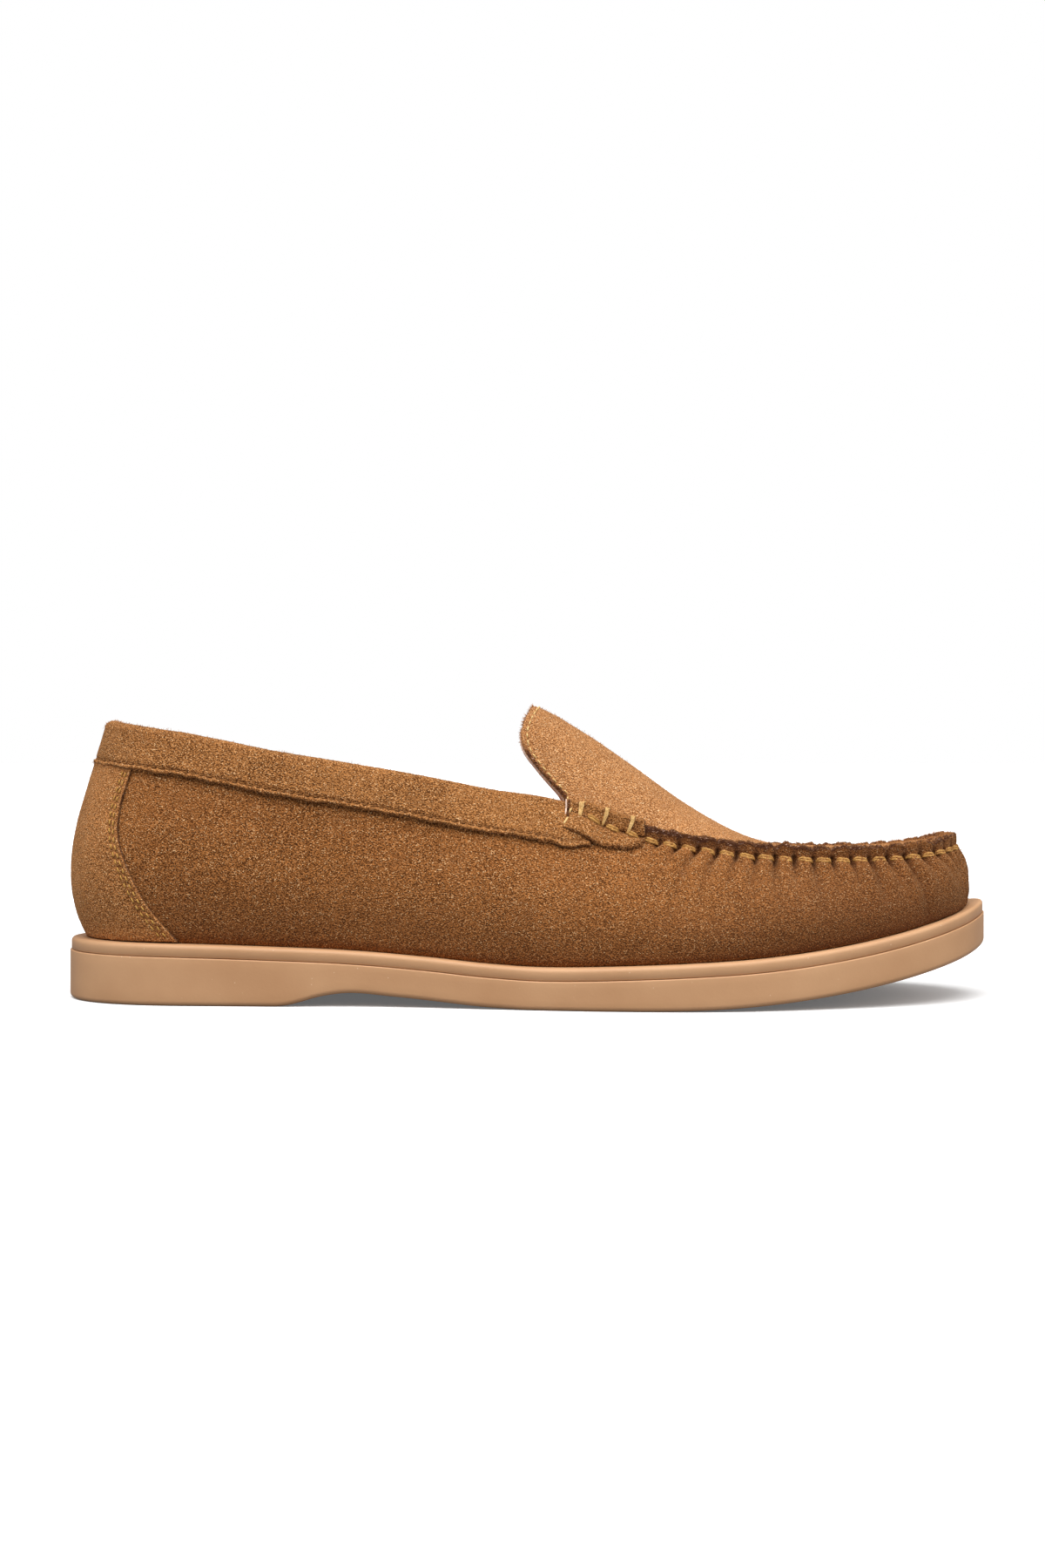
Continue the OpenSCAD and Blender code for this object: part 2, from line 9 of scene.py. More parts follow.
import bpy
import numpy as np
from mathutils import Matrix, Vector


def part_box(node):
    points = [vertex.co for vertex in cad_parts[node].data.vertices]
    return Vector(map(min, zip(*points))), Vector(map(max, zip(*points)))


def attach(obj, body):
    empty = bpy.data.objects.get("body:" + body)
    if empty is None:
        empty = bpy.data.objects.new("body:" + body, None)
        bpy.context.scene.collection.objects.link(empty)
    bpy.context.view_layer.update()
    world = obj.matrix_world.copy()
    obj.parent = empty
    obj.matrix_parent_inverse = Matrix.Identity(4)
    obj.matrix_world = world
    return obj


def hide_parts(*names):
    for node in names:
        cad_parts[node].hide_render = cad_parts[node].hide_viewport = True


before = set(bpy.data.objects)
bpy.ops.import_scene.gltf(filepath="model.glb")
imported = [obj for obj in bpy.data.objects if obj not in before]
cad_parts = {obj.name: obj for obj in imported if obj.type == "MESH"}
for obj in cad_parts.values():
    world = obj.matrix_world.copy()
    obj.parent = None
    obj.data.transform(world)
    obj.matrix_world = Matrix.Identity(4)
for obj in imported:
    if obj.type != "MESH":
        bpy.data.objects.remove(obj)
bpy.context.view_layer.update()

MM = 0.001

# ---- sizes, in millimetres, as the frame's parts have them ----

outsole_low, outsole_high = (np.array(corner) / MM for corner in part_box("outsole"))
outsole_l, outsole_w = (outsole_high - outsole_low)[:2]

# Stations: x and y as shares of half the sole's length and width, then how far in from that edge
# the wall stands: at its base, its lower belly, its upper belly and its top.
STATIONS = np.array([
    [-1.000, 0.000, 6.6, -5.6, 6.5, 12.3],
    [-0.950, -0.380, 6.2, -5.0, 6.0, 11.8],
    [-0.815, -0.612, 5.5, -3.0, 5.0, 10.3],
    [-0.575, -0.680, 5.0, -1.0, 4.0, 9.5],
    [-0.305, -0.730, 4.5, 0.0, 4.5, 10.0],
    [-0.068, -0.850, 4.5, 0.0, 7.0, 16.0],
    [0.170, -0.970, 4.5, 0.0, 9.0, 21.5],
    [0.407, -0.995, 4.4, 0.5, 9.0, 21.5],
    [0.644, -0.860, 4.4, 1.0, 7.0, 17.5],
    [0.832, -0.655, 4.8, 2.0, 5.5, 13.5],
    [0.947, -0.360, 5.2, 3.5, 4.8, 10.2],
    [1.000, 0.080, 5.6, 4.4, 4.6, 9.0],
    [0.947, 0.480, 5.2, 3.5, 4.8, 10.2],
    [0.838, 0.760, 4.6, 1.5, 5.5, 14.0],
    [0.654, 0.940, 4.4, 0.8, 8.0, 19.0],
    [0.410, 0.990, 4.4, 0.8, 9.0, 20.5],
    [0.170, 0.830, 4.5, 0.5, 5.5, 13.8],
    [-0.068, 0.655, 4.0, -1.0, 2.0, 6.8],
    [-0.340, 0.590, 4.0, -1.5, 0.5, 4.4],
    [-0.610, 0.640, 4.5, -1.5, 2.5, 8.0],
    [-0.827, 0.580, 5.5, -3.0, 5.0, 10.3],
    [-0.955, 0.340, 6.2, -5.0, 6.0, 11.8],
])
TURN = len(STATIONS)
TOE = TURN / 2
THROAT = 5.52
PLUG_SPAN = TOE - THROAT
TAB_RUN = 0.72         # stations that a throat tab covers
END_GAP = 0.006        # stations left open at the sole's two ends, where its sides meet
TOE_GAP = 0.03         # the same for the plug's sides

HALF_L = outsole_l / 2
SOLE_T, HEEL_RISE, TOE_SPRING, ARCH_H = 12.8, 6.7, 17.2, 4.3
MIDSOLE_T, BAND_STEP, SOLE_EDGE_R, BAND_EDGE_R, GLUE = 3.9, 0.6, 1.6, 1.4, 0.12
TREAD_PITCH, TREAD_DEPTH, RIM_W = 8.0, 0.95, 5.0
BACK_H, THROAT_H, SEAM_H, TOE_SEAM_H, INNER_DROP, TONGUE_H = 86.2, 60.8, 45.3, 48.4, 1.6, 93.0
SUEDE_T, LIP_H, MARGIN_W, TONGUE_CUT = 1.6, 4.2, 13.0, 14.9
COLLAR_W, COLLAR_IN_W, COLLAR_T, TAB_T, TAB_DROP, PATCH_T = 11.4, 9.0, 1.2, 1.1, 5.8, 1.1
LINING_T, STIFFENER_T, BOARD_T, SOCK_T, PAD_T = 1.0, 1.4, 2.0, 1.2, 3.0
STIFFENER_END = 3.1    # last station that the heel stiffener reaches
STIFFENER_TOP = 0.66   # share of the wall's height that it reaches
PLY = 0.25             # air between layers of the upper
PATCH_GAP = 0.12       # air between the wall and the heel patch
MOC_PITCH, FINE_THREAD_D, FINE_PITCH, STITCH_INSET = 6.0, 0.5, 2.6, 1.6
STITCH_SHARE = 0.76    # share of its pitch that a hand-sewn stitch covers
FINE_SHARE = 0.72      # the same for a machine stitch
PATCH_ROWS = (STITCH_INSET, 2 * STITCH_INSET)   # rows behind the heel patch's edge
WHIP_AT = (0.16, 0.5, 0.84)   # where the whip stitches stand, as shares along a tab
STATION_MM = 24.0      # length of a station beside the heel
TAB_MM = 20.0          # length of a tab
NAP_JITTER = 0.07      # how far the fibres roughen a suede face
FAR = 99.0             # distance that is past every rounded edge
WALL_IN = SUEDE_T + PLY
COLLAR_MID = (WALL_IN + LINING_T) / 2
COLLAR_OUT = COLLAR_MID + PLY + COLLAR_T
TAB_FACE = -PLY - TAB_T       # depth of a tab's outer face
LINING_Z = 2 * GLUE + SUEDE_T + BOARD_T + GLUE
PLUG_IN = 2 * SUEDE_T + PLY


# ---- curves ----

def mix(a, b, t):
    """a at t = 0, b at t = 1, and a straight line between."""
    return a + (b - a) * t


def ease(t):
    """0 below 0, 1 above 1, and three t squared less two t cubed between."""
    c = np.clip(t, 0, 1)
    return c * c * (3 - 2 * c)


def hump(t, width):
    """Bell curve: 1 at t = 0, falling off over the width."""
    return np.exp(-(t / width) ** 2)


def bezier(a, b, c, d, t):
    """Cubic Bezier curve through a and d, pulled towards b and c."""
    r = 1 - t
    return a * r ** 3 + 3 * b * r * r * t + 3 * c * r * t * t + d * t ** 3


def bezier_slope(a, b, c, d, t):
    """Rate at which the Bezier curve changes with t."""
    r = 1 - t
    return 3 * ((b - a) * r * r + 2 * (c - b) * r * t + (d - c) * t * t)


def curve(rows, x):
    """Cubic through [x, value] rows, with the mean of its neighbours' slopes at each, level outside."""
    xs, ys = np.array(rows, float).T
    secant = np.diff(ys) / np.diff(xs)
    slope = np.concatenate([secant[:1], (secant[1:] + secant[:-1]) / 2, secant[-1:]])
    x = np.clip(x, xs[0], xs[-1])
    i = np.clip(np.searchsorted(xs, x, side="right") - 1, 0, len(xs) - 2)
    w = xs[i + 1] - xs[i]
    return bezier(ys[i], ys[i] + slope[i] * w / 3, ys[i + 1] - slope[i + 1] * w / 3, ys[i + 1],
                  (x - xs[i]) / w)


def ring(s):
    """Row of the stations' values at s: the Catmull-Rom cubic through four stations."""
    i = np.floor(s).astype(int)
    t = (s - i)[..., None]
    a, b, c, d = (STATIONS[(i + k) % TURN] for k in (-1, 0, 1, 2))
    return 0.5 * (2 * b + (c - a) * t + (2 * a - 5 * b + 4 * c - d) * t ** 2
                  + (3 * b - a - 3 * c + d) * t ** 3)


def ring_slope(s):
    """Rate at which that row changes with s."""
    i = np.floor(s).astype(int)
    t = (s - i)[..., None]
    a, b, c, d = (STATIONS[(i + k) % TURN] for k in (-1, 0, 1, 2))
    return 0.5 * ((c - a) + 2 * (2 * a - 5 * b + 4 * c - d) * t + 3 * (3 * b - a - 3 * c + d) * t ** 2)


HALF_W = outsole_w / np.ptp(ring(np.linspace(0, TURN, 2201))[:, 1])


def noise(x, seed):
    """Smooth noise from -1 to 1 along a line: seeded values at whole numbers, eased between."""
    table = np.random.default_rng(seed).uniform(-1, 1, 1024)
    i = np.floor(x).astype(int)
    return mix(table[i % 1024], table[(i + 1) % 1024], ease(x - i))


def noise2(x, y, seed):
    """Smooth noise from -1 to 1 on a plane: seeded values on a lattice, eased both ways."""
    table = np.random.default_rng(seed).uniform(-1, 1, (256, 256))
    i, j = np.floor(x).astype(int), np.floor(y).astype(int)
    u, v = ease(x - i), ease(y - j)
    at = lambda a, b: table[(i + a) % 256, (j + b) % 256]
    return mix(mix(at(0, 0), at(1, 0), u), mix(at(0, 1), at(1, 1), u), v)


def vec(x, y, z):
    """Points from three arrays that broadcast together."""
    return np.stack(np.broadcast_arrays(x, y, z), -1)


def unit(v):
    """Vectors scaled to length 1."""
    return v / np.linalg.norm(v, axis=-1, keepdims=True)


# ---- the shoe's own surfaces ----

def spring_z(x):
    """Lift of the sole towards the toe: a power of the distance past the ball."""
    return TOE_SPRING * (np.maximum(0, x / HALF_L - 0.2) / 0.8) ** 2.3


def floor_z(x):
    """Underside of the sole: flat heel and ball, arch cut between them, toe lifted."""
    return spring_z(x) + ARCH_H * curve([
        [-0.53, 0], [-0.505, 0.1], [-0.43, 0.78], [-0.376, 1], [-0.285, 0.78], [-0.195, 0.5],
        [-0.1, 0.18], [0, 0]], x / HALF_L)


def seat_z(x):
    """Upper face of the sole: its thickness above the spring, and the rise to the heel."""
    return spring_z(x) + SOLE_T + 1.4 * ease(x / HALF_L / 0.4) + HEEL_RISE * curve([
        [-1, 1], [-0.745, 0.925], [-0.56, 0.82], [-0.376, 0.66], [-0.195, 0.36], [-0.1, 0.165],
        [0, 0.03], [0.08, 0]], x / HALF_L)


def edge_frame(s):
    """Point of the sole's edge at station s, the unit vector inwards, and the wall's four insets."""
    row = ring(s)
    slope = ring_slope(s)[..., :2] * [HALF_L, HALF_W]
    inward = unit(np.stack([-slope[..., 1], slope[..., 0]], -1))
    return row[..., :2] * [HALF_L, HALF_W], inward, row[..., 2:]


def inset_pt(s, inset, height, from_base=True):
    """Point a distance inside the sole's edge, or the wall's base, at a height given over x."""
    edge, inward, k = edge_frame(s)
    d = inset + (k[..., 0] if from_base else 0)
    x = edge[..., 0] + inward[..., 0] * d
    return vec(x, edge[..., 1] + inward[..., 1] * d, height(x))


def top_z(x):
    """Height of the wall's top: topline behind the throat, hand-sewn seam in front of it."""
    back_throat = lambda t: mix(BACK_H, THROAT_H, t)
    throat_seam = lambda t: mix(THROAT_H, SEAM_H, t)
    return curve([
        [-0.93, BACK_H], [-0.745, back_throat(0.146)], [-0.525, back_throat(0.39)],
        [-0.3, back_throat(0.602)], [-0.085, back_throat(0.835)], [0.08, THROAT_H],
        [0.15, throat_seam(0.3)], [0.235, throat_seam(0.56)], [0.446, throat_seam(0.9)],
        [0.61, SEAM_H], [0.75, SEAM_H], [0.84, SEAM_H + 0.9], [0.95, TOE_SEAM_H]], x / HALF_L)


def wall_span(s):
    """Heights of the wall's base and top at station s."""
    edge, inward, k = edge_frame(s)
    u = s % TURN
    dip = INNER_DROP * ease((u - 11.3) / 1.5) * ease((21.8 - u) / 2)
    return (seat_z(edge[..., 0] + inward[..., 0] * k[..., 0]) + GLUE,
            top_z(edge[..., 0] + inward[..., 0] * k[..., 3]) - dip)


def wall_height(s):
    """Height of the wall from its base to its top at station s."""
    z0, z1 = wall_span(s)
    return z1 - z0


def wall_pt(s, v, depth=0.0, rise=0.0):
    """Wall at share v of its height: the Bezier curve of the insets, then depth along its normal
    and rise along its own slope."""
    s, v, depth, rise = np.broadcast_arrays(np.asarray(s, float), v, depth, rise)
    edge, inward, k = edge_frame(s)
    z0, z1 = wall_span(s)
    slope = bezier_slope(*np.moveaxis(k, -1, 0), v)
    size = np.hypot(slope, z1 - z0)
    tx, tz = slope / size, (z1 - z0) / size
    out = bezier(*np.moveaxis(k, -1, 0), v) + depth * tz + rise * tx
    return vec(edge[..., 0] + inward[..., 0] * out, edge[..., 1] + inward[..., 1] * out,
               mix(z0, z1, v) - depth * tx + rise * tz)


def lip_pt(s, depth, up):
    """Beside the seam's raised lip, which stands straight up from the wall's top."""
    s, depth, up = np.broadcast_arrays(np.asarray(s, float), depth, up)
    inward = edge_frame(s)[1]
    top = wall_pt(s, 1.0)
    return vec(top[..., 0] + inward[..., 0] * depth, top[..., 1] + inward[..., 1] * depth,
               top[..., 2] + up)


def lip_at(s):
    """Height of the lip: a little along the topline, all of it in front of the throat."""
    return 0.1 + (LIP_H - 0.1) * ease((PLUG_SPAN - np.abs(s - TOE)) / 0.25)


def below_top(s, d):
    """Share of the wall's height at a distance below its top."""
    return 1 - d / wall_height(s)


def crest_z(x):
    """Height of the plug's middle line, from the tongue down to the toe."""
    down = lambda t: mix(TONGUE_H, SEAM_H, t)
    return curve([
        [-0.06, TONGUE_H + 3], [0.02, TONGUE_H], [0.112, down(0.15)], [0.226, down(0.39)],
        [0.34, down(0.645)], [0.455, down(0.845)], [0.53, SEAM_H + 3.8], [0.62, SEAM_H + 2.9],
        [0.77, SEAM_H + 3.4], [0.9, TOE_SEAM_H + 1.8], [0.93, TOE_SEAM_H + 1.2]], x / HALF_L)


def tongue_back(q):
    """How far the tongue's back edge lies behind the throat, by share q across it."""
    return TONGUE_CUT * curve([
        [0, 0.725], [0.1, 0.745], [0.24, 0.846], [0.35, 0.953], [0.42, 1], [0.51, 0.926],
        [0.59, 0.685], [0.68, 0.376], [0.75, 0.161], [0.84, 0.054], [1, 0.02]], np.abs(q))


def plug_pt(p, q, depth=0.0):
    """Top of the foot: p from the toe, 0, to the throat, 1, and the tongue's edge, 2; q across.
    Each row arches between the two lips as one less a power of the share across."""
    p, q, depth = np.broadcast_arrays(np.asarray(p, float), q, depth)
    d = mix(TOE_GAP, PLUG_SPAN, np.minimum(p, 1))
    a, b = lip_pt(TOE - d, PLUG_IN, 0), lip_pt(TOE + d, PLUG_IN, 0)
    w = np.sin(np.pi / 2 * q)
    power = mix(2, 2.5, ease((p - 0.4) / 0.5))
    x = mix(a[..., 0], b[..., 0], (1 + w) / 2) - np.maximum(0, p - 1) * tongue_back(q)
    half = (b[..., 1] - a[..., 1]) / 2
    z0 = mix(a[..., 2], b[..., 2], (1 + w) / 2)
    rise = np.maximum(0.2, crest_z(x) - z0)
    ny, nz = half, -rise * power * np.abs(w) ** (power - 1) * np.sign(w)
    size = np.hypot(ny, nz)
    return vec(x, (a[..., 1] + b[..., 1]) / 2 + half * w + depth * nz / size,
               z0 + rise * (1 - np.abs(w) ** power) - depth * ny / size)


# ---- where the hand-sewn stitches fall ----

def seam_line(s):
    """Line that the hand-sewn stitches follow, just below the lip."""
    return wall_pt(s, below_top(s, 0.4))


def length_along(line, s):
    """Distance from the first of the stations s along a line, summed chord by chord."""
    step = np.linalg.norm(np.diff(line(s), axis=0), axis=-1)
    return np.concatenate([[0], np.cumsum(step)])


SEAM_S = np.linspace(THROAT + 0.2, TURN - THROAT - 0.2, 3001)
SEAM_LENGTH = length_along(seam_line, SEAM_S)
SEAM_COUNT = int(SEAM_LENGTH[-1] / MOC_PITCH)


def seam_phase(s):
    """Count of hand-sewn stitches from the outer throat to station s, in stitches."""
    return np.interp(s, SEAM_S, SEAM_LENGTH) / SEAM_LENGTH[-1] * SEAM_COUNT


def seam_station(phase):
    """Station at which a count of stitches is reached."""
    return np.interp(phase / SEAM_COUNT * SEAM_LENGTH[-1], SEAM_LENGTH, SEAM_S)


HOLE = (1 + STITCH_SHARE) / 2          # share of the pitch at the middle of the gap between stitches
PER_PUCKER = np.random.default_rng(7).uniform(0, 1, (64, 3))


def per_hole(phase, column):
    """One seeded value for each stitch hole, eased from hole to hole."""
    i = np.floor(phase).astype(int)
    return mix(PER_PUCKER[i % 64, column], PER_PUCKER[(i + 1) % 64, column], ease(phase - i))


def gather_share(s, ramp=0.35):
    """Where the wall is gathered: from the tab's end on one side to the same on the other."""
    return ease((PLUG_SPAN - TAB_RUN + 0.05 - np.abs(s - TOE)) / ramp)


def lip_share(s):
    """Where the lip is ragged: as far as the gathers, but starting right at the tab's end."""
    return gather_share(s, 0.1)


def crease_phase(s, d):
    """Stitches counted from the nearest hole along a crease that starts at it. The creases lean
    back beside the instep and forward near the toe, by a distance that levels off with depth."""
    away = (PLUG_SPAN - np.abs(s - TOE)) / PLUG_SPAN
    rate = curve([[0, 1.2], [0.2, 1.1], [0.36, 0.45], [0.5, 0.05], [0.7, -0.3], [0.86, -0.65],
                  [1, 0]], away)
    lean = rate * 8 * (1 - np.exp(-d / 8)) / MOC_PITCH
    return seam_phase(s) - HOLE - np.sign(s - TOE) * lean * ease(np.abs(s - TOE) / 0.8)


def hole_gap(phase):
    """Share of the way across from one hole to the next, and the distance to the nearer one."""
    across = phase - np.floor(phase)
    return across, np.minimum(across, 1 - across)


def gathers(s, d):
    """Push of the wall's face at distance d below the seam. Each stitch swells into a rounded
    pucker, a root of a half sine, with a sharp crease at each hole, and both fade by a length
    that differs from hole to hole. Slow, wide folds carry on below them."""
    phase = crease_phase(s, d)
    across, near = hole_gap(phase)
    depth = mix(1.6, 2.9, per_hole(phase, 0))
    reach = mix(4.5, 14.0, per_hole(phase, 1) ** 1.3)
    swell = np.sin(np.pi * across) ** (0.5 + 1.2 * ease(d / 10)) - 0.66
    crease = -0.6 * hump(near, 0.09) * np.exp(-d / (0.4 * reach))
    hole = -0.8 * hump(near, 0.13) * hump(d - 0.6, 1.0)
    soft = noise2(phase * 0.45, d / 16, 3) * ease(d / 5) * ease((32 - d) / 16)
    fade = np.exp(-d / reach) * ease((d + 1.2) / 1.8)
    return gather_share(s) * (depth * swell * fade + crease + hole + soft)


def crease_shade(s, d):
    """Painted shade in the creases, 0 to 1: deepest at the holes, fading down the crease."""
    phase = crease_phase(s, d)
    near = hole_gap(phase)[1]
    reach = mix(1.8, 9.0, per_hole(phase, 1) ** 1.3)
    hole = hump(near, 0.11) * hump(d - 0.5, 1.3)
    return gather_share(s) * (0.6 * hump(near, 0.15) * np.exp(-d / reach) + 1.1 * hole)


# ---- meshes ----

def grid_quads(rows, columns, closed_rows):
    """Four-cornered faces of a grid whose columns close on themselves, and whose rows may."""
    i, j = np.meshgrid(np.arange(rows if closed_rows else rows - 1), np.arange(columns), indexing="ij")
    i2, j2 = (i + 1) % rows, (j + 1) % columns
    return np.stack([i * columns + j, i * columns + j2, i2 * columns + j2, i2 * columns + j],
                    -1).reshape(-1, 4)


def end_quads(start, columns):
    """Strip that closes a loop of points by joining those that lie opposite each other."""
    j = np.arange(columns // 2 - 1)
    return start + np.stack([j + 1, j, columns - 1 - j, columns - 2 - j], -1)


def loft_faces(loops, closed):
    """Points and outward faces through rows of loops. A stack of such lofts may be given at once."""
    stack = loops[None] if loops.ndim == 3 else loops
    count, rows, columns, _ = stack.shape
    quads = grid_quads(rows, columns, closed)
    if not closed:
        far_end = end_quads((rows - 1) * columns, columns)[:, ::-1]
        quads = np.concatenate([quads, end_quads(0, columns), far_end])
    flat = stack.reshape(count, -1, 3)
    centred = flat - flat.mean(1, keepdims=True)
    a, b, c, d = (centred[:, quads[:, k]] for k in range(4))
    volume = ((a * np.cross(b, c)).sum(-1) + (a * np.cross(c, d)).sum(-1)).sum(-1)
    faces = np.where(volume[:, None, None] < 0, quads[None, :, ::-1], quads[None])
    faces = faces + (np.arange(count) * rows * columns)[:, None, None]
    return flat.reshape(-1, 3), faces.reshape(-1, 4)


def build(name, lofts, finish, nodes=(), masks=None):
    """Piece from (loops, closed) pairs, in millimetres, with its finish, its body and its masks."""
    points, faces, start = [], [], 0
    for loops, closed in lofts:
        p, f = loft_faces(loops, closed)
        points.append(p)
        faces.append(f + start)
        start += len(p)
    points, faces = np.concatenate(points), np.concatenate(faces)
    mesh = bpy.data.meshes.new(name)
    mesh.vertices.add(len(points))
    mesh.vertices.foreach_set("co", (points * MM).astype(np.float32).ravel())
    mesh.loops.add(faces.size)
    mesh.loops.foreach_set("vertex_index", faces.astype(np.int32).ravel())
    mesh.polygons.add(len(faces))
    mesh.polygons.foreach_set("loop_start", np.arange(0, faces.size, 4, dtype=np.int32))
    mesh.polygons.foreach_set("use_smooth", np.ones(len(faces), bool))
    mesh.update(calc_edges=True)
    mesh.validate()
    for mask, values in (masks or {}).items():
        data = mesh.attributes.new(mask, "FLOAT", "POINT")
        data.data.foreach_set("value", np.clip(values, 0, 1).astype(np.float32).ravel())
    material, slot = finish
    mesh.materials.append(material)
    piece = bpy.data.objects.new(name, mesh)
    bpy.context.scene.collection.objects.link(piece)
    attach(piece, "root")
    if nodes:
        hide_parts(*nodes)
    return piece


def loop_of(outer, inner):
    """Closed loops that run along an outer grid and back along an inner one."""
    return np.concatenate([outer, inner[:, ::-1]], 1)


def round_off(distance, radius):
    """How far a face falls back near a cut edge, so that the edge is a half circle."""
    x = np.clip(1 - distance / radius, 0, 1)
    return radius * (1 - np.sqrt(1 - x * x))


def edge_steps(radius, count=5):
    """Distances from a cut edge at equal turns of its half circle, widest first."""
    return radius * (1 - np.sin(np.linspace(0, np.pi / 2, count)))


# ---- nodes ----

class Tree:
    """Short way to add nodes to a shader tree: inputs are values or another node's socket."""

    def __init__(self, tree):
        self.tree = tree

    def add(self, kind, inputs=None, **settings):
        node = self.tree.nodes.new(kind)
        for key, value in settings.items():
            setattr(node, key, value)
        for key, value in (inputs or {}).items():
            self.feed(node.inputs[key], value)
        return node

    def feed(self, socket, value):
        if isinstance(value, bpy.types.NodeSocket):
            self.tree.links.new(value, socket)
        else:
            socket.default_value = value

    def math(self, operation, a, b=0.0, clamp=False):
        return self.add("ShaderNodeMath", {0: a, 1: b}, operation=operation, use_clamp=clamp).outputs[0]

    def blend(self, factor, a, b, how="MIX"):
        node = self.add("ShaderNodeMix", data_type="RGBA", blend_type=how, clamp_factor=True)
        for k, value in ((0, factor), (6, a), (7, b)):
            self.feed(node.inputs[k], value)
        return node.outputs[2]

    def noise(self, vector, scale, detail=2.0, rough=0.5):
        return self.add("ShaderNodeTexNoise", {"Vector": vector, "Scale": scale, "Detail": detail,
                                               "Roughness": rough}).outputs["Fac"]

    def span(self, value, low, high, to_low=0.0, to_high=1.0):
        return self.add("ShaderNodeMapRange", {"Value": value, "From Min": low, "From Max": high,
                                               "To Min": to_low, "To Max": to_high}).outputs[0]

    def place(self):
        return self.add("ShaderNodeTexCoord").outputs["Object"]

    def mask(self, name):
        return self.add("ShaderNodeAttribute", attribute_name=name).outputs["Fac"]


def rgb(red, green, blue):
    """Linear colour from 0 to 255 screen values."""
    screen = np.array([red, green, blue]) / 255
    linear = np.where(screen <= 0.04045, screen / 12.92, ((screen + 0.055) / 1.055) ** 2.4)
    return (*linear.tolist(), 1.0)


def group(name, inputs, outputs):
    """New node group with named sockets, and its tree and input node."""
    made = bpy.data.node_groups.new(name, "ShaderNodeTree")
    for side, sockets in (("INPUT", inputs), ("OUTPUT", outputs)):
        for label, kind in sockets:
            made.interface.new_socket(label, in_out=side, socket_type="NodeSocket" + kind)
    tree = Tree(made)
    return made, tree, tree.add("NodeGroupInput").outputs, tree.add("NodeGroupOutput").inputs


NAP_FIBRES = (2150.0, 2900.0, 2800.0)    # fibres to the metre, along their lie and across it
NAP_LIE = (0.5, 0.7, 0.4)                # turn of their lie about X, Y and Z, in radians
TORN_FIBRE = rgb(196, 160, 140)


def nap_group():
    """Suede nap: short fibres that lie one way, light tips, dark gaps, and patches where the nap
    lies another way. A mask darkens it with painted shade, and another turns the surface into the
    dark, stringy core that a cut edge shows."""
    made, t, given, out = group(
        "suede_nap",
        [("Nap", "Color"), ("Shaded nap", "Color"), ("Core", "Color"), ("Tips", "Color"),
         ("Shade", "Float"), ("Cut edge", "Float")],
        [("Colour", "Color"), ("Height", "Float")])
    at = t.place()
    lay = t.add("ShaderNodeMapping", {"Vector": at, "Rotation": NAP_LIE, "Scale": NAP_FIBRES}).outputs[0]
    fibre = t.noise(lay, 1.0, 0.0, 0.5)
    tips = t.noise(at, 2600.0, 0.0, 0.5)
    patch = t.noise(at, 150.0, 3.0, 0.6)
    broad = t.noise(at, 34.0, 2.0, 0.5)
    drift = t.math("ADD", t.span(patch, 0.3, 0.7, -0.07, 0.07),
                   t.span(broad, 0.35, 0.65, -0.08, 0.08))
    tone = t.math("ADD", t.math("ADD", t.span(fibre, 0.31, 0.69, -0.5, 0.5), drift), 0.55)
    base = t.blend(tone, given["Shaded nap"], given["Nap"])
    sparkle = t.math("MULTIPLY", t.span(tips, 0.62, 0.74), t.span(fibre, 0.4, 0.6), clamp=True)
    base = t.blend(t.math("MULTIPLY", sparkle, 0.7), base, given["Tips"])
    pits = t.math("MULTIPLY", t.span(tips, 0.4, 0.28), 0.4, clamp=True)
    base = t.blend(pits, base, given["Shaded nap"])
    # painted shade from the Shade mask
    shade = t.math("MULTIPLY", given["Shade"], 0.86, clamp=True)
    base = t.blend(shade, base, t.blend(0.4, given["Shaded nap"], given["Core"]))
    strings = t.add("ShaderNodeMapping", {"Vector": at, "Scale": (900.0, 900.0, 2600.0)}).outputs[0]
    thread = t.noise(strings, 1.0, 3.0, 0.7)
    core = t.blend(t.span(thread, 0.4, 0.58), given["Core"], given["Shaded nap"])
    core = t.blend(t.span(thread, 0.58, 0.68), core, TORN_FIBRE)
    ragged = t.math("ADD", given["Cut edge"], t.span(patch, 0.35, 0.65, -0.3, 0.3))
    ragged = t.math("ADD", ragged, t.span(fibre, 0.3, 0.7, -0.25, 0.25))
    t.feed(out["Colour"], t.blend(t.span(ragged, 0.35, 0.75), base, core))
    t.feed(out["Height"], t.math("ADD", t.math("MULTIPLY", fibre, 0.7), t.math("MULTIPLY", tips, 0.3)))
    return made


def leather_group():
    """Smooth leather: pores in small cells, faint creases and a slow change of tone."""
    made, t, given, out = group(
        "leather_grain", [("Light", "Color"), ("Dark", "Color"), ("Wear", "Float")],
        [("Colour", "Color"), ("Height", "Float"), ("Roughness", "Float")])
    at = t.place()
    cells = t.add("ShaderNodeTexVoronoi", {"Vector": at, "Scale": 1100.0},
                  feature="DISTANCE_TO_EDGE").outputs["Distance"]
    pores = t.span(cells, 0.0, 0.12)
    cloud = t.noise(at, 60.0, 4.0, 0.55)
    tone = t.math("ADD", t.math("MULTIPLY", t.span(cloud, 0.3, 0.7), 0.6),
                  t.math("MULTIPLY", given["Wear"], 0.5), clamp=True)
    base = t.blend(tone, given["Light"], given["Dark"])
    t.feed(out["Colour"], t.blend(t.span(pores, 0.0, 1.0, 0.25, 0.0), base, given["Dark"]))
    t.feed(out["Height"], t.math("ADD", pores, t.math("MULTIPLY", t.noise(at, 420.0, 3.0), 0.5)))
    t.feed(out["Roughness"], t.span(cloud, 0.2, 0.8, 0.5, 0.66))
    return made


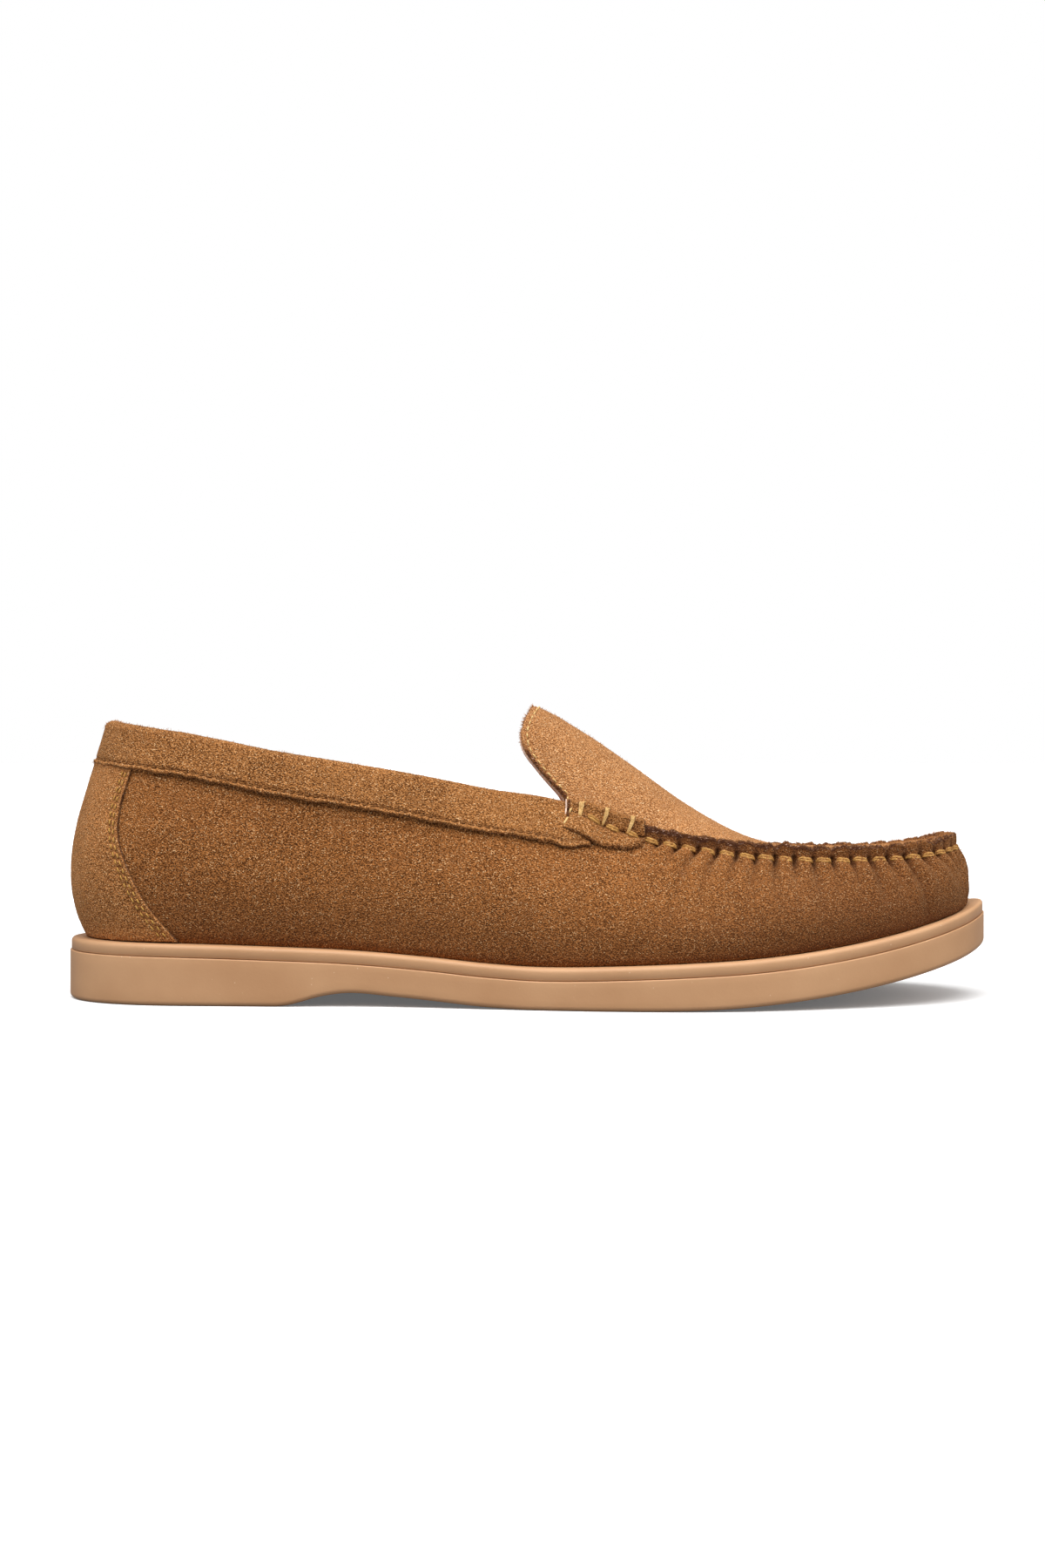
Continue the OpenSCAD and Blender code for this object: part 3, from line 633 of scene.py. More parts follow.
NAP = nap_group()
GRAIN = leather_group()


def new_material(name):
    """Material with an empty tree but for its Principled shader and output."""
    material = bpy.data.materials.new(name)
    material.use_nodes = True
    tree = Tree(material.node_tree)
    tree.shader = material.node_tree.nodes["Principled BSDF"]
    return material, tree


def bump(tree, height, strength, distance):
    """Normal from a height over the surface."""
    node = tree.add("ShaderNodeBump", {"Height": height, "Strength": strength, "Distance": distance})
    tree.feed(tree.shader.inputs["Normal"], node.outputs["Normal"])


def suede(name, nap, shaded, tips):
    """Finish of suede in one dye lot: the nap group, a soft sheen and a matt surface."""
    material, t = new_material(name)
    nap_node = t.add("ShaderNodeGroup", node_tree=NAP)
    for label, value in (("Nap", rgb(*nap)), ("Shaded nap", rgb(*shaded)), ("Core", rgb(72, 42, 32)),
                         ("Tips", rgb(*tips)), ("Shade", t.mask("shade")), ("Cut edge", t.mask("cut"))):
        t.feed(nap_node.inputs[label], value)
    t.feed(t.shader.inputs["Base Color"], nap_node.outputs["Colour"])
    t.shader.inputs["Roughness"].default_value = 0.95
    t.shader.inputs["Specular IOR Level"].default_value = 0.12
    t.shader.inputs["Sheen Weight"].default_value = 0.16
    t.shader.inputs["Sheen Roughness"].default_value = 0.45
    t.shader.inputs["Sheen Tint"].default_value = rgb(255, 206, 150)
    bump(t, nap_node.outputs["Height"], 0.9, 0.0007)
    return material, name


def rubber(name, colour, deep):
    """Gum rubber: even colour with a slow change of tone, pale specks and a satin skin."""
    material, t = new_material(name)
    at = t.place()
    cloud = t.noise(at, 32.0, 3.0, 0.5)
    base = t.blend(t.span(cloud, 0.3, 0.7), deep, colour)
    spots = t.add("ShaderNodeTexVoronoi", {"Vector": at, "Scale": 420.0}).outputs
    speck = t.math("MULTIPLY", t.span(spots["Distance"], 0.1, 0.05),
                   t.span(t.add("ShaderNodeSeparateColor", {0: spots["Color"]}).outputs[0], 0.8, 0.84),
                   clamp=True)
    base = t.blend(t.math("MULTIPLY", speck, 0.4), base, rgb(246, 226, 196))
    fine = t.noise(at, 900.0, 3.0, 0.6)
    base = t.blend(t.span(fine, 0.62, 0.8, 0.0, 0.18), base, deep)
    # painted shade from the piece's shade mask
    base = t.blend(t.math("MULTIPLY", t.mask("shade"), 0.75), base, rgb(112, 74, 46))
    t.feed(t.shader.inputs["Base Color"], base)
    t.feed(t.shader.inputs["Roughness"], t.span(cloud, 0.2, 0.8, 0.42, 0.56))
    t.shader.inputs["Specular IOR Level"].default_value = 0.35
    bump(t, t.math("ADD", fine, t.math("MULTIPLY", t.noise(at, 160.0, 2.0), 0.8)), 0.12, 0.0003)
    return material


def leather(name, light, dark):
    """Vegetable-tanned lining leather."""
    material, t = new_material(name)
    grain = t.add("ShaderNodeGroup", node_tree=GRAIN)
    for label, value in (("Light", light), ("Dark", dark), ("Wear", t.mask("shade"))):
        t.feed(grain.inputs[label], value)
    t.feed(t.shader.inputs["Base Color"], grain.outputs["Colour"])
    t.feed(t.shader.inputs["Roughness"], grain.outputs["Roughness"])
    bump(t, grain.outputs["Height"], 0.25, 0.00012)
    return material


def twine(name, light, dark, scale):
    """Thread: light and dark filaments that change along the strand, with a slight wax gloss."""
    material, t = new_material(name)
    at = t.place()
    strands = t.noise(at, scale, 3.0, 0.7)
    # painted shade where a strand's ends enter the leather, from its shade mask
    tone = t.math("ADD", t.span(strands, 0.3, 0.7), t.math("MULTIPLY", t.mask("shade"), -0.6),
                  clamp=True)
    t.feed(t.shader.inputs["Base Color"], t.blend(tone, dark, light))
    t.shader.inputs["Roughness"].default_value = 0.6
    t.shader.inputs["Specular IOR Level"].default_value = 0.2
    bump(t, strands, 0.5, 0.0002)
    return material


def plain(name, light, dark, scale, rough, metal=0.0):
    """Hidden parts: two tones mixed by a cloudy noise, with a fine bump."""
    material, t = new_material(name)
    cloud = t.noise(t.place(), scale, 4.0, 0.6)
    t.feed(t.shader.inputs["Base Color"], t.blend(t.span(cloud, 0.35, 0.65), dark, light))
    t.shader.inputs["Roughness"].default_value = rough
    t.shader.inputs["Metallic"].default_value = metal
    bump(t, cloud, 0.3, 0.0002)
    return material


WALL_SUEDE = suede("wall_suede", (178, 114, 60), (84, 46, 16), (244, 206, 156))
PLUG_SUEDE = suede("plug_suede", (213, 152, 97), (128, 78, 40), (252, 220, 176))
TRIM_SUEDE = suede("trim_suede", (191, 129, 73), (92, 52, 20), (248, 208, 158))
# heel patch: the same suede made lighter, painted light for the light that falls on the heel
PATCH_SUEDE_PAINTED_LIGHT = suede("patch_suede", (205, 138, 80), (98, 56, 22), (250, 212, 158))
GUM = rubber("gum_rubber", rgb(206, 160, 118), rgb(190, 143, 102)), "gum_rubber"
BAND_GUM = rubber("midsole_rubber", rgb(208, 162, 120), rgb(192, 145, 104)), "midsole_rubber"
LINING = leather("lining_leather", rgb(246, 214, 194), rgb(214, 170, 144)), "lining_leather"
SOCK = leather("sock_leather", rgb(214, 172, 138), rgb(176, 128, 92)), "sock_leather"
WAXED = twine("waxed_thread", rgb(218, 168, 94), rgb(130, 82, 34), 1500.0), "waxed_thread"
PALE_THREAD = twine("waxed_thread_pale", rgb(246, 208, 142), rgb(176, 126, 62), 1800.0), "waxed_thread"
DARK_THREAD = twine("dark_thread", rgb(176, 120, 62), rgb(94, 56, 26), 2600.0), "dark_thread"
FINE_THREAD = twine("fine_thread", rgb(226, 178, 96), rgb(160, 108, 46), 2600.0), "fine_thread"
EDGE_THREAD = twine("tongue_thread", rgb(252, 222, 158), rgb(206, 156, 88), 2600.0), "fine_thread"
FIBRE = twine("loose_fibre", rgb(214, 150, 88), rgb(128, 78, 40), 900.0), "trim_suede"


# ---- sole ----

def stations_from_toe(first, last, count):
    """Distances behind the toe, in stations, closer together towards both ends."""
    return mix(first, last, mix(np.linspace(0, 1, count), ease(np.linspace(0, 1, count)), 0.55))


def quarter_arc(radius, count):
    """Quarter circle as pairs of distances from the two lines that it meets, from (0, radius)."""
    turn = np.linspace(0, math.pi / 2, count)
    return list(zip(radius * (1 - np.cos(turn)), radius * (1 - np.sin(turn))))


def rows_down(s, rows, from_base=False):
    """Points down the sole's side, or the wall's base, by rows of (inset, height over x)."""
    return np.stack([inset_pt(s, inset, height, from_base) for inset, height in rows], 1)


def across_sole(d, rows, share, from_base=False):
    """Rows down both sides at each distance d behind the toe, the face between their last rows at
    shares across it, and how far the face's points lie from the nearer side."""
    outer, inner = rows_down(TOE - d, rows, from_base), rows_down(TOE + d, rows, from_base)
    a, b = outer[:, -1:], inner[:, -1:]
    middle = mix(a, b, share[None, :, None])
    from_edge = np.minimum(share, 1 - share)[None] * np.linalg.norm(b - a, axis=-1)
    return outer, middle, inner, from_edge


def tread(x, y, from_edge):
    """Underside: level, with shallow wavy grooves across the forefoot and heel inside a plain rim.
    Gives its height, and 1 where it is grooved."""
    wave = x + 2.2 * np.sin(y / 5.2)
    across = np.abs((wave / TREAD_PITCH) % 1 - 0.5) * TREAD_PITCH
    groove = ease((1.15 - across) / 0.55)
    groove = groove * np.maximum(ease((x - 2) / 2), ease((-x - 80) / 2))
    groove = groove * ease((from_edge - RIM_W - 2) / 1.2)
    ring_groove = ease((0.9 - np.abs(from_edge - RIM_W)) / 0.5)
    lift = TREAD_DEPTH * np.maximum(groove, 0.7 * ring_groove)
    return floor_z(x) + lift, np.maximum(groove, ring_groove)


def heel_painted_shade(loops):
    """Painted shade: the rubber darker towards the back of the heel."""
    return 0.14 * ease((-loops[..., 0] - 50) / 90)


def outsole():
    """Gum rubber unit: wall down to a rounded lower edge, grooved underside, flat upper face."""
    d = stations_from_toe(END_GAP, TOE - END_GAP, 520)
    top = lambda x: seat_z(x) - MIDSOLE_T - GLUE
    down = [(inset, lambda x, fall=fall: top(x) - fall) for fall, inset in quarter_arc(0.4, 5)]
    down += [(0, lambda x, k=k: mix(top(x) - 0.55, floor_z(x) + SOLE_EDGE_R, k))
             for k in (0.25, 0.5, 0.75)]
    down += [(inset, lambda x, rise=rise: floor_z(x) + rise)
             for inset, rise in quarter_arc(SOLE_EDGE_R, 7)]
    outer, middle, inner, from_edge = across_sole(d, down, np.linspace(0, 1, 66)[1:-1])
    middle[..., 2], grooved = tread(middle[..., 0], middle[..., 1], from_edge)
    loops = np.concatenate([outer, middle, inner[:, ::-1]], 1)
    # painted shade: darker towards the back of the heel and in the tread's grooves
    sole_painted_shade = heel_painted_shade(loops)
    sole_painted_shade[:, outer.shape[1]:-inner.shape[1]] += 0.6 * grooved
    build("outsole_unit", [(loops, False)], GUM, ["outsole"], {"shade": sole_painted_shade})


def midsole():
    """Upper band of the sole's edge, a little in from the outsole, with a rounded upper edge."""
    d = stations_from_toe(END_GAP, TOE - END_GAP, 360)
    step = 0.7 * BAND_STEP
    rows = [(step + 6, seat_z)]
    rows += [(step + inset, lambda x, fall=fall: seat_z(x) - fall)
             for fall, inset in quarter_arc(BAND_EDGE_R, 7)]
    rows += [(step, lambda x: seat_z(x) - MIDSOLE_T + 0.2),
             (step + 0.2, lambda x: seat_z(x) - MIDSOLE_T + 0.02)]
    loops = loop_of(rows_down(TOE - d, rows), rows_down(TOE + d, rows))
    # painted shade: darker towards the back of the heel and in the groove along the band's foot
    groove = heel_painted_shade(loops)
    low = len(rows) - 1
    groove[:, [low, low + 1]] += 0.2
    build("midsole_band", [(loops, False)], BAND_GUM, ["midsole"], {"shade": groove})


def sock_z(x):
    """Height of the sock's underside above the seat, with a step up over the heel pad."""
    behind = -x / HALF_L
    return LINING_Z + 0.4 * ease((behind - 0.2) / 0.08) + (PAD_T - 0.4) * ease((behind - 0.3) / 0.3)


def sock_liner():
    """Leather sock over the insole, dished a little under the heel and the ball."""
    d = stations_from_toe(0.05, TOE - 0.05, 120)
    inset = SUEDE_T + LINING_T + 0.6
    rows = [(inset + back, lambda x, h=h: seat_z(x) + sock_z(x) + h * SOCK_T)
            for back, h in ((0, 0), (0, 0.6), (0.3, 0.92), (0.9, 1))]
    share = np.linspace(0, 1, 34)[1:-1]
    outer, middle, inner, _ = across_sole(d, rows, share, True)
    x = middle[..., 0] / HALF_L
    dish = np.sin(np.pi * share) ** 0.7
    heel, ball = hump(x + 0.72, 0.2), hump(x - 0.35, 0.25)
    arch = hump(x + 0.15, 0.25) * ease(2 * share - 1)
    middle[..., 2] -= dish * (0.5 * heel + 0.4 * ball - 0.9 * arch)
    loops = np.concatenate([outer, middle, inner[:, ::-1]], 1)
    # the sock's wear under the heel and the ball
    wear_and_painted_shade = np.zeros(loops.shape[:2])
    wear_and_painted_shade[:, outer.shape[1]:-outer.shape[1]] = 0.5 * dish * (heel + ball)
    build("sock_leather_sheet", [(loops, False)], SOCK, ["sock_liner"], {"shade": wear_and_painted_shade})


# ---- upper ----

def blank_masks(loops):
    """Two masks of nought over a piece's loops: where it is cut, and where it is shaded."""
    return np.zeros(loops.shape[:2]), np.zeros(loops.shape[:2])


def lip_rows(height, count=7):
    """Heights up a raised lip and how far its faces fall back at the rounded cut edge."""
    radius = SUEDE_T / 2
    turn = np.linspace(0, np.pi / 2, 6)
    up = np.concatenate([np.linspace(0, 1, count)[1:-1][None] * (height - radius),
                         height - radius + radius * np.sin(turn)[None]], 1)
    back = np.concatenate([np.zeros(count - 2), radius * (1 - np.cos(turn))])[None]
    return up, np.broadcast_to(back, up.shape)


def lip_wave(s, up):
    """Push of the lip: pinched in at each hole, swelling between, wandering a little."""
    phase = seam_phase(s) - HOLE
    pinch = np.sin(np.pi * hole_gap(phase)[0]) ** 0.7 - 0.62
    swell = mix(0.55, 0.9, per_hole(phase, 2)) * pinch * ease(up / 1.6)
    wander = 0.4 * noise(seam_phase(s) * 0.8, 23) * ease(up / LIP_H)
    coarse = 0.2 * noise2(seam_phase(s) * 5, up / 1.3, 25) * ease(up / 1.2)
    return lip_share(s) * (swell + wander + coarse)


def lip_height(s, seed):
    """Height of the lip along its cut edge: lower at each hole, and ragged."""
    phase = seam_phase(s) - HOLE
    notch = -0.75 * hump(hole_gap(phase)[1], 0.16) * mix(0.5, 1.2, per_hole(phase, 0))
    ragged = 0.42 * noise(seam_phase(s) * 3.1, seed) + 0.26 * noise(seam_phase(s) * 11, seed + 1)
    return lip_at(s) + lip_share(s) * (notch + ragged)


def wall_stations():
    """Stations round the wall: close together along the gathered seam, wider apart at the heel."""
    seam = seam_station(np.linspace(0, SEAM_COUNT, SEAM_COUNT * 14 + 1))
    back = np.linspace(seam[-1], TURN + seam[0], 132)[1:-1]
    return np.concatenate([seam, back])[:, None]


def wall_painted_shade(s, high):
    """Painted shade on the wall at a height above its base: low down, and all over beside the toe."""
    from_toe = np.abs(s - TOE)
    front = ease((5.2 - from_toe) / 2.4) * mix(0.55, 1, ease((from_toe - 0.6) / 1.2))
    low = (0.42 + 0.12 * front) * ease((30 - high) / 30)
    return low + 0.24 * front + 0.3 * ease((3.5 - high) / 3.5)


def lip_core(s, up, height):
    """Where the lip shows its torn core: its upper part, less of it near the throat, and stains."""
    away = (PLUG_SPAN - np.abs(s - TOE)) / PLUG_SPAN
    stained = mix(0.3, 0.6, noise(seam_phase(s) * 0.6, 27)) * mix(1.3, 0.5, ease(away / 0.6))
    top = mix(0.32, 0.74, ease(away / 0.5)) + 0.16 * noise(seam_phase(s) * 1.7, 28)
    return lip_share(s) * (ease((up / height - top) / 0.2) + 0.9 * stained * ease(up / 1.2))


def vamp_wall():
    """Suede wall with its turned-in margin and the lip, its face pushed by the gathers."""
    s = wall_stations()
    v = 1 - (1 - np.linspace(0, 1, 47)[None, 1:]) ** 1.35
    high = v * wall_height(s)
    fall = (1 - v) * wall_height(s)
    push = gathers(s, fall) + 0.22 * noise2(s * 2.3, v * 3, 5) * ease(fall / 8) * ease(v / 0.15)
    height = lip_height(s, 21)
    up, back = lip_rows(height)
    chance = np.random.default_rng(4)
    frayed = chance.uniform(-1, 1, up.shape) * (back > 0.05) * lip_share(s)
    push = push + NAP_JITTER * chance.uniform(-1, 1, push.shape)
    lip_push = mix(gathers(s, np.zeros_like(s)), lip_wave(s, up), ease(up / 1.2))
    under = (MARGIN_W, 9.0, 5.0, 2.4, 1.0)
    foot = lambda lift: rows_down(s[:, 0], [(i, lambda x: seat_z(x) + GLUE + lift) for i in under], True)
    outer = np.concatenate([foot(0), wall_pt(s, v, -push),
                            lip_pt(s, back - lip_push + 0.13 * frayed, up + 0.34 * frayed)], 1)
    v_in = np.linspace(0.06, 1, 14)[None]
    push_in = 0.6 * gathers(s, (1 - v_in) * wall_height(s))
    up_in, back_in = lip_rows(height, 4)
    inner = np.concatenate([foot(SUEDE_T), wall_pt(s, v_in, SUEDE_T - push_in),
                            lip_pt(s, SUEDE_T - back_in - lip_wave(s, up_in), up_in)], 1)
    loops = loop_of(outer, inner)
    cut, shade = blank_masks(loops)
    a, b, c = len(under), len(under) + v.shape[1], outer.shape[1]
    # painted shade: in the creases, low down on the wall, beside the toe and at its foot
    shade[:, a:b] = crease_shade(s, fall) + wall_painted_shade(s, high)
    # the lip darker all along, and painted shade at each hole
    near = hole_gap(seam_phase(s) - HOLE)[1]
    shade[:, b:c] = lip_share(s) * (0.5 + 0.45 * hump(near, 0.14))
    cut[:, b:c] = lip_core(s, up, height)
    cut[:, c:c + up_in.shape[1]] = lip_share(s)
    build("wall_of_upper", [(loops, True)], WALL_SUEDE, ["vamp_wall"], {"cut": cut, "shade": shade})


def plug():
    """Top of the foot and the tongue, with its edge turned up beside the wall's."""
    p = np.sort(np.concatenate([np.linspace(0, 1, 260), 1 + np.linspace(0, 1, 40)[1:] ** 0.8,
                                [1.985, 1.994, 1.999]]))[:, None]
    q = np.linspace(-1, 1, 91)[None, 1:-1]
    tongue = p > 1
    edge = (2 - p) * tongue_back(q)
    back = round_off(np.where(tongue, edge, FAR), SUEDE_T / 2)
    side = lambda sign: TOE + sign * mix(TOE_GAP, PLUG_SPAN, np.minimum(p, 1))

    def lip(sign, face):
        """Turned-up edge on one side, its outer face 0 or inner face 1, and shares of its height."""
        s = side(sign)
        height = np.where(tongue, 0.9, lip_height(s, 31) - 0.1)
        up, fall = lip_rows(height, 6)
        wave = -0.6 * lip_wave(s, up) * (p <= 1)
        points = lip_pt(s, PLUG_IN - SUEDE_T * face + (2 * face - 1) * fall + wave, up)
        points[..., 0] -= np.maximum(0, p - 1) * tongue_back(1.0)
        return points, up / np.maximum(height, 0.01)

    holes = [np.cos(2 * np.pi * (seam_phase(side(sign)) - HOLE)) for sign in (-1, 1)]
    hole = np.where(q < 0, *holes)
    inward = 1 - np.abs(q)
    near = np.exp(-18 * inward) * (p < 1)
    soft = 0.35 * noise2(p * 5, q * 3, 41) * ease(6 * inward) * ease((1.3 - p) / 0.5)
    soft = soft + NAP_JITTER * np.random.default_rng(43).uniform(-1, 1, (len(p), q.shape[1]))
    face = plug_pt(p, q, back + 0.3 * hole * near - soft)
    under = plug_pt(p, q, SUEDE_T - back)
    (a, share), (b, _), (c, _), (d, _) = [lip(sign, which) for which in (0, 1) for sign in (-1, 1)]
    outer = np.concatenate([a[:, ::-1], face, b], 1)
    loops = loop_of(outer, np.concatenate([c[:, ::-1], under, d], 1))
    cut, shade = blank_masks(loops)
    n, m = a.shape[1], outer.shape[1]
    rim = ease((share - 0.7) / 0.25) * (p <= 1)
    cut[:, :n] = cut[:, m:m + n] = rim[:, ::-1]
    cut[:, m - n:m] = cut[:, -n:] = rim
    cut[:, n:m - n] = 0.95 * ease((1.5 - edge) / 0.5) * ease((np.abs(q) - 0.42) / 0.15) * tongue
    cut[:, m + n:-n] = ease((1.0 - edge) / 0.4)[:, ::-1] * tongue
    # painted shade along the foot of each lip, most at each hole
    shade[:, n:m - n] = 0.45 * near * (0.5 + 0.5 * hole)
    build("plug_and_tongue", [(loops, False)], PLUG_SUEDE, ["plug"], {"cut": cut, "shade": shade})


def plug_lining():
    """Leather under the plug, reaching just past the tongue's cut edge, with a short end that
    runs down over each tab."""
    p = np.concatenate([np.linspace(0.2, 1, 40), 1 + np.linspace(0, 1, 40)[1:] ** 0.8])[:, None]
    q = np.linspace(-1, 1, 61)[None] * mix(0.86, 0.975, ease((p - 0.9) / 0.1))
    back = round_off(np.where(p > 1, (2 - p) * tongue_back(q), FAR), LINING_T / 2)
    depth = SUEDE_T + 0.08
    outer, inner = plug_pt(p, q, depth + back), plug_pt(p, q, depth + LINING_T - back)
    for grid in (outer, inner):
        grid[..., 0] -= 0.3 * ease(p - 1)
    u = np.linspace(0, 1, 12)[None]
    ends = [tab_strand(side, np.full_like(u, -0.035), mix(3.4, -2.2, u), 0.1, 0.3) for side in (-1, 1)]
    build("plug_lining_leather", [(k, False) for k in (loop_of(outer, inner), *ends)], LINING,
          ["plug_lining"])


def lining(name, node, s0, s1, drop):
    """Leather on the wall's inside, from the insole board to just below the top. It leaves room
    for the heel stiffener."""
    s = np.linspace(s0, s1, 170)[:, None]
    v = mix(LINING_Z / wall_height(s), below_top(s, drop), np.linspace(0, 1, 22)[None])
    from_heel = np.minimum(s % TURN, -s % TURN)
    room = ease((STIFFENER_END + 0.6 - from_heel) / 0.5) * ease((STIFFENER_TOP + 0.11 - v) / 0.1)
    room = (STIFFENER_T + PLY) * room
    loops = loop_of(wall_pt(s, v, WALL_IN + room), wall_pt(s, v, WALL_IN + LINING_T + room))
    build(name, [(loops, False)], LINING, [node], {"shade": blank_masks(loops)[1]})


# ---- heel ----

def patch_edge(v):
    """Station of the heel patch's front edge at share v of the wall's height."""
    return curve([[0, 2.36], [0.18, 2.05], [0.36, 1.8], [0.5, 1.64], [0.62, 1.6], [0.75, 1.66],
                  [1, 1.85]], v)


def cut_shade(distance, width=0.15):
    """Mask of a cut edge: the dark core shows over its outermost part."""
    return 0.6 * ease((width - distance) / 0.1)


def heel_patch():
    """Suede patch round the heel with cut front edges, pulled in along its two rows of stitches."""
    radius = PATCH_T / 2
    edge = edge_steps(radius) / STATION_MM / 1.7
    half = np.concatenate([1 - edge[::-1], 1 - np.linspace(0.02, 0.19, 22),
                           np.linspace(0.79, 0, 34)[:-1]])
    t = np.concatenate([half, [0], -half[::-1]])[:, None]
    k = np.linspace(0, 1, 150)[None]
    up_to = lambda s: mix(0.012, below_top(s, COLLAR_W - 0.8), k)
    s = t * patch_edge(up_to(np.array([[1.7]])))
    v = up_to(s)
    inside = (1 - np.abs(t)) * patch_edge(v) * STATION_MM
    back = round_off(inside, radius)
    height = v * wall_height(s)
    tight = 0.28 + 0.16 * np.cos(2 * np.pi * height / FINE_PITCH)
    pull = sum(hump(inside - row, 0.55) for row in PATCH_ROWS) * tight
    swell = 0.12 * noise2(s * 6, v * 9, 61)
    swell = swell + NAP_JITTER * np.random.default_rng(63).uniform(-1, 1, swell.shape)
    loops = loop_of(wall_pt(s, v, back + pull - swell - PATCH_GAP - PATCH_T),
                    wall_pt(s, v, -PATCH_GAP - 0.3 * back))
    cut, shade = blank_masks(loops)
    n = k.shape[1]
    cut[:, :n] = cut_shade(inside)
    cut[:, n:] = ease((0.8 - inside) / 0.25)[:, ::-1]
    # painted shade in the two stitch rows and at the wall's foot
    shade[:, :n] = pull * 0.9 + 0.25 * ease((3 - height) / 3)
    build("heel_patch_suede", [(loops, False)], PATCH_SUEDE_PAINTED_LIGHT, ["heel_patch"],
          {"cut": cut, "shade": shade})


# ---- collar and tabs ----

def collar_length():
    """Stations and running length along the collar's stitch line."""
    s = np.linspace(-THROAT, THROAT, 1501)
    return s, length_along(lambda a: wall_pt(a, below_top(a, COLLAR_W - STITCH_INSET)), s)


COLLAR_S, COLLAR_LENGTH = collar_length()


def collar_shell(s):
    """Inner face of the collar's fold: up beside the wall, over its top, and down the lining."""
    angle = np.linspace(0, np.pi, 13)[None, 1:-1]
    reach = COLLAR_MID + PLY
    return np.concatenate([
        wall_pt(s, below_top(s, COLLAR_W - np.linspace(0.3, 10, 6)[None]), COLLAR_MID - reach),
        wall_pt(s, 1.0, COLLAR_MID - reach * np.cos(angle), reach * np.sin(angle)),
        wall_pt(s, below_top(s, COLLAR_IN_W - np.linspace(8.5, 0.2, 6)[None]), COLLAR_MID + reach)], 1)


def collar_band():
    """Strip of suede folded over the topline, pulled in at each stitch above its cut edge. Its
    ends run on flat under the tabs."""
    s = np.interp(np.linspace(0, COLLAR_LENGTH[-1], 960), COLLAR_LENGTH, COLLAR_S)[:, None]
    run = np.interp(s, COLLAR_S, COLLAR_LENGTH)
    wavy = 0.28 * noise(run / 3.4, 51) + 0.16 * noise(run / 0.9, 52)
    steps = np.concatenate([edge_steps(COLLAR_T / 2)[::-1],
                            [0.9, 1.2, 1.45, 1.6, 1.75, 2.0, 2.4, 3.0, 4.0, 5.4, 7.0, 8.6, 10.0]])[None]
    back = round_off(steps, COLLAR_T / 2)
    fall = COLLAR_W - steps + wavy * ease((2.4 - steps) / 2)
    hole = np.cos(2 * np.pi * run / FINE_PITCH)
    pull = hump(steps - STITCH_INSET, 0.4) * (0.55 + 0.25 * hole)
    flare = 0.42 * hump(steps - 0.6, 0.5) * (1 + 0.5 * noise(run / 2.1, 53))
    wander = 0.16 * noise2(run / 9, steps / 5, 54) * ease(steps / 3)
    chance = np.random.default_rng(57)
    wander = wander + NAP_JITTER * chance.uniform(-1, 1, wander.shape)
    leg = wall_pt(s, below_top(s, np.maximum(fall, 0)), back + pull - flare - wander - PLY - COLLAR_T)
    angle = np.linspace(0, np.pi, 13)[None, 1:-1]
    crown = COLLAR_OUT + 0.1 * noise2(run / 7, angle, 55)
    crown = crown + NAP_JITTER * chance.uniform(-1, 1, crown.shape)
    bow = wall_pt(s, 1.0, COLLAR_MID - crown * np.cos(angle), crown * np.sin(angle))
    steps_in = np.array([10.0, 8.0, 6.0, 4.0, 2.4, 1.2, 0.6, 0.0])[None] * COLLAR_IN_W / 11
    inner_leg = wall_pt(s, below_top(s, COLLAR_IN_W - steps_in),
                        COLLAR_MID + COLLAR_OUT - 0.35 * ease((1.2 - steps_in) / 1.2))
    outer = np.concatenate([leg, bow, inner_leg], 1)
    shell = collar_shell(s)
    gap = 0.02 * (outer[:, -1:] - shell[:, -1:])
    filler = np.linspace(0, 1, outer.shape[1] - shell.shape[1])[None, :, None]
    loops = loop_of(outer, np.concatenate([shell, shell[:, -1:] + gap * filler], 1))
    cut, shade = blank_masks(loops)
    n = steps.shape[1]
    cut[:, :n] = cut_shade(steps)
    # painted shade along the stitch row, most at each hole
    shade[:, :n] = hump(steps - STITCH_INSET, 0.3) * (0.35 + 0.3 * hole)
    parts = [(loops, cut, shade)] + [collar_tail(side) for side in (-1, 1)]
    masks = {"cut": np.concatenate([part[1].ravel() for part in parts]),
             "shade": np.concatenate([part[2].ravel() for part in parts])}
    build("collar_band_suede", [(part[0], False) for part in parts], TRIM_SUEDE, ["collar_band"], masks)


def collar_tail(side):
    """Flat end of the collar's outer leg, which runs on under the tab. Its lower edge rises to
    the tab's lower edge. Gives its loops, cut mask and shade."""
    radius = COLLAR_T / 2
    t = np.concatenate([np.linspace(-0.01, 0.225, 24), [0.235, 0.243, 0.248, 0.25]])[:, None]
    s = TOE + side * (PLUG_SPAN - t)
    low = mix(COLLAR_W, 7.8, ease(t / 0.25) ** 1.3) + 0.15 * noise(t * 90, 59)
    steps = np.concatenate([edge_steps(radius)[::-1], [0.9, 1.3, 1.6, 2.0, 3.0, 4.5, 6.0, 7.2]])[None]
    end = (0.25 - t) * 28
    back = np.maximum(round_off(steps, radius), round_off(end, radius))
    pull = 0.45 * hump(steps - STITCH_INSET, 0.45)
    v = below_top(s, low - steps)
    loops = loop_of(wall_pt(s, v, back + pull - PLY - COLLAR_T), wall_pt(s, v, -PLY - 0.3 * back))
    cut, shade = blank_masks(loops)
    n = steps.shape[1]
    cut[:, :n] = cut_shade(np.minimum(steps, end))
    # painted shade along the stitch row
    shade[:, :n] = 0.5 * hump(steps - STITCH_INSET, 0.4)
    return loops, cut, shade


def tab_drop(t):
    """Depth of a throat tab below the seam, by share t along it."""
    return TAB_DROP * curve([[0, 1.05], [0.35, 1.08], [0.65, 0.92], [0.88, 0.6], [1, 0.2]], t)


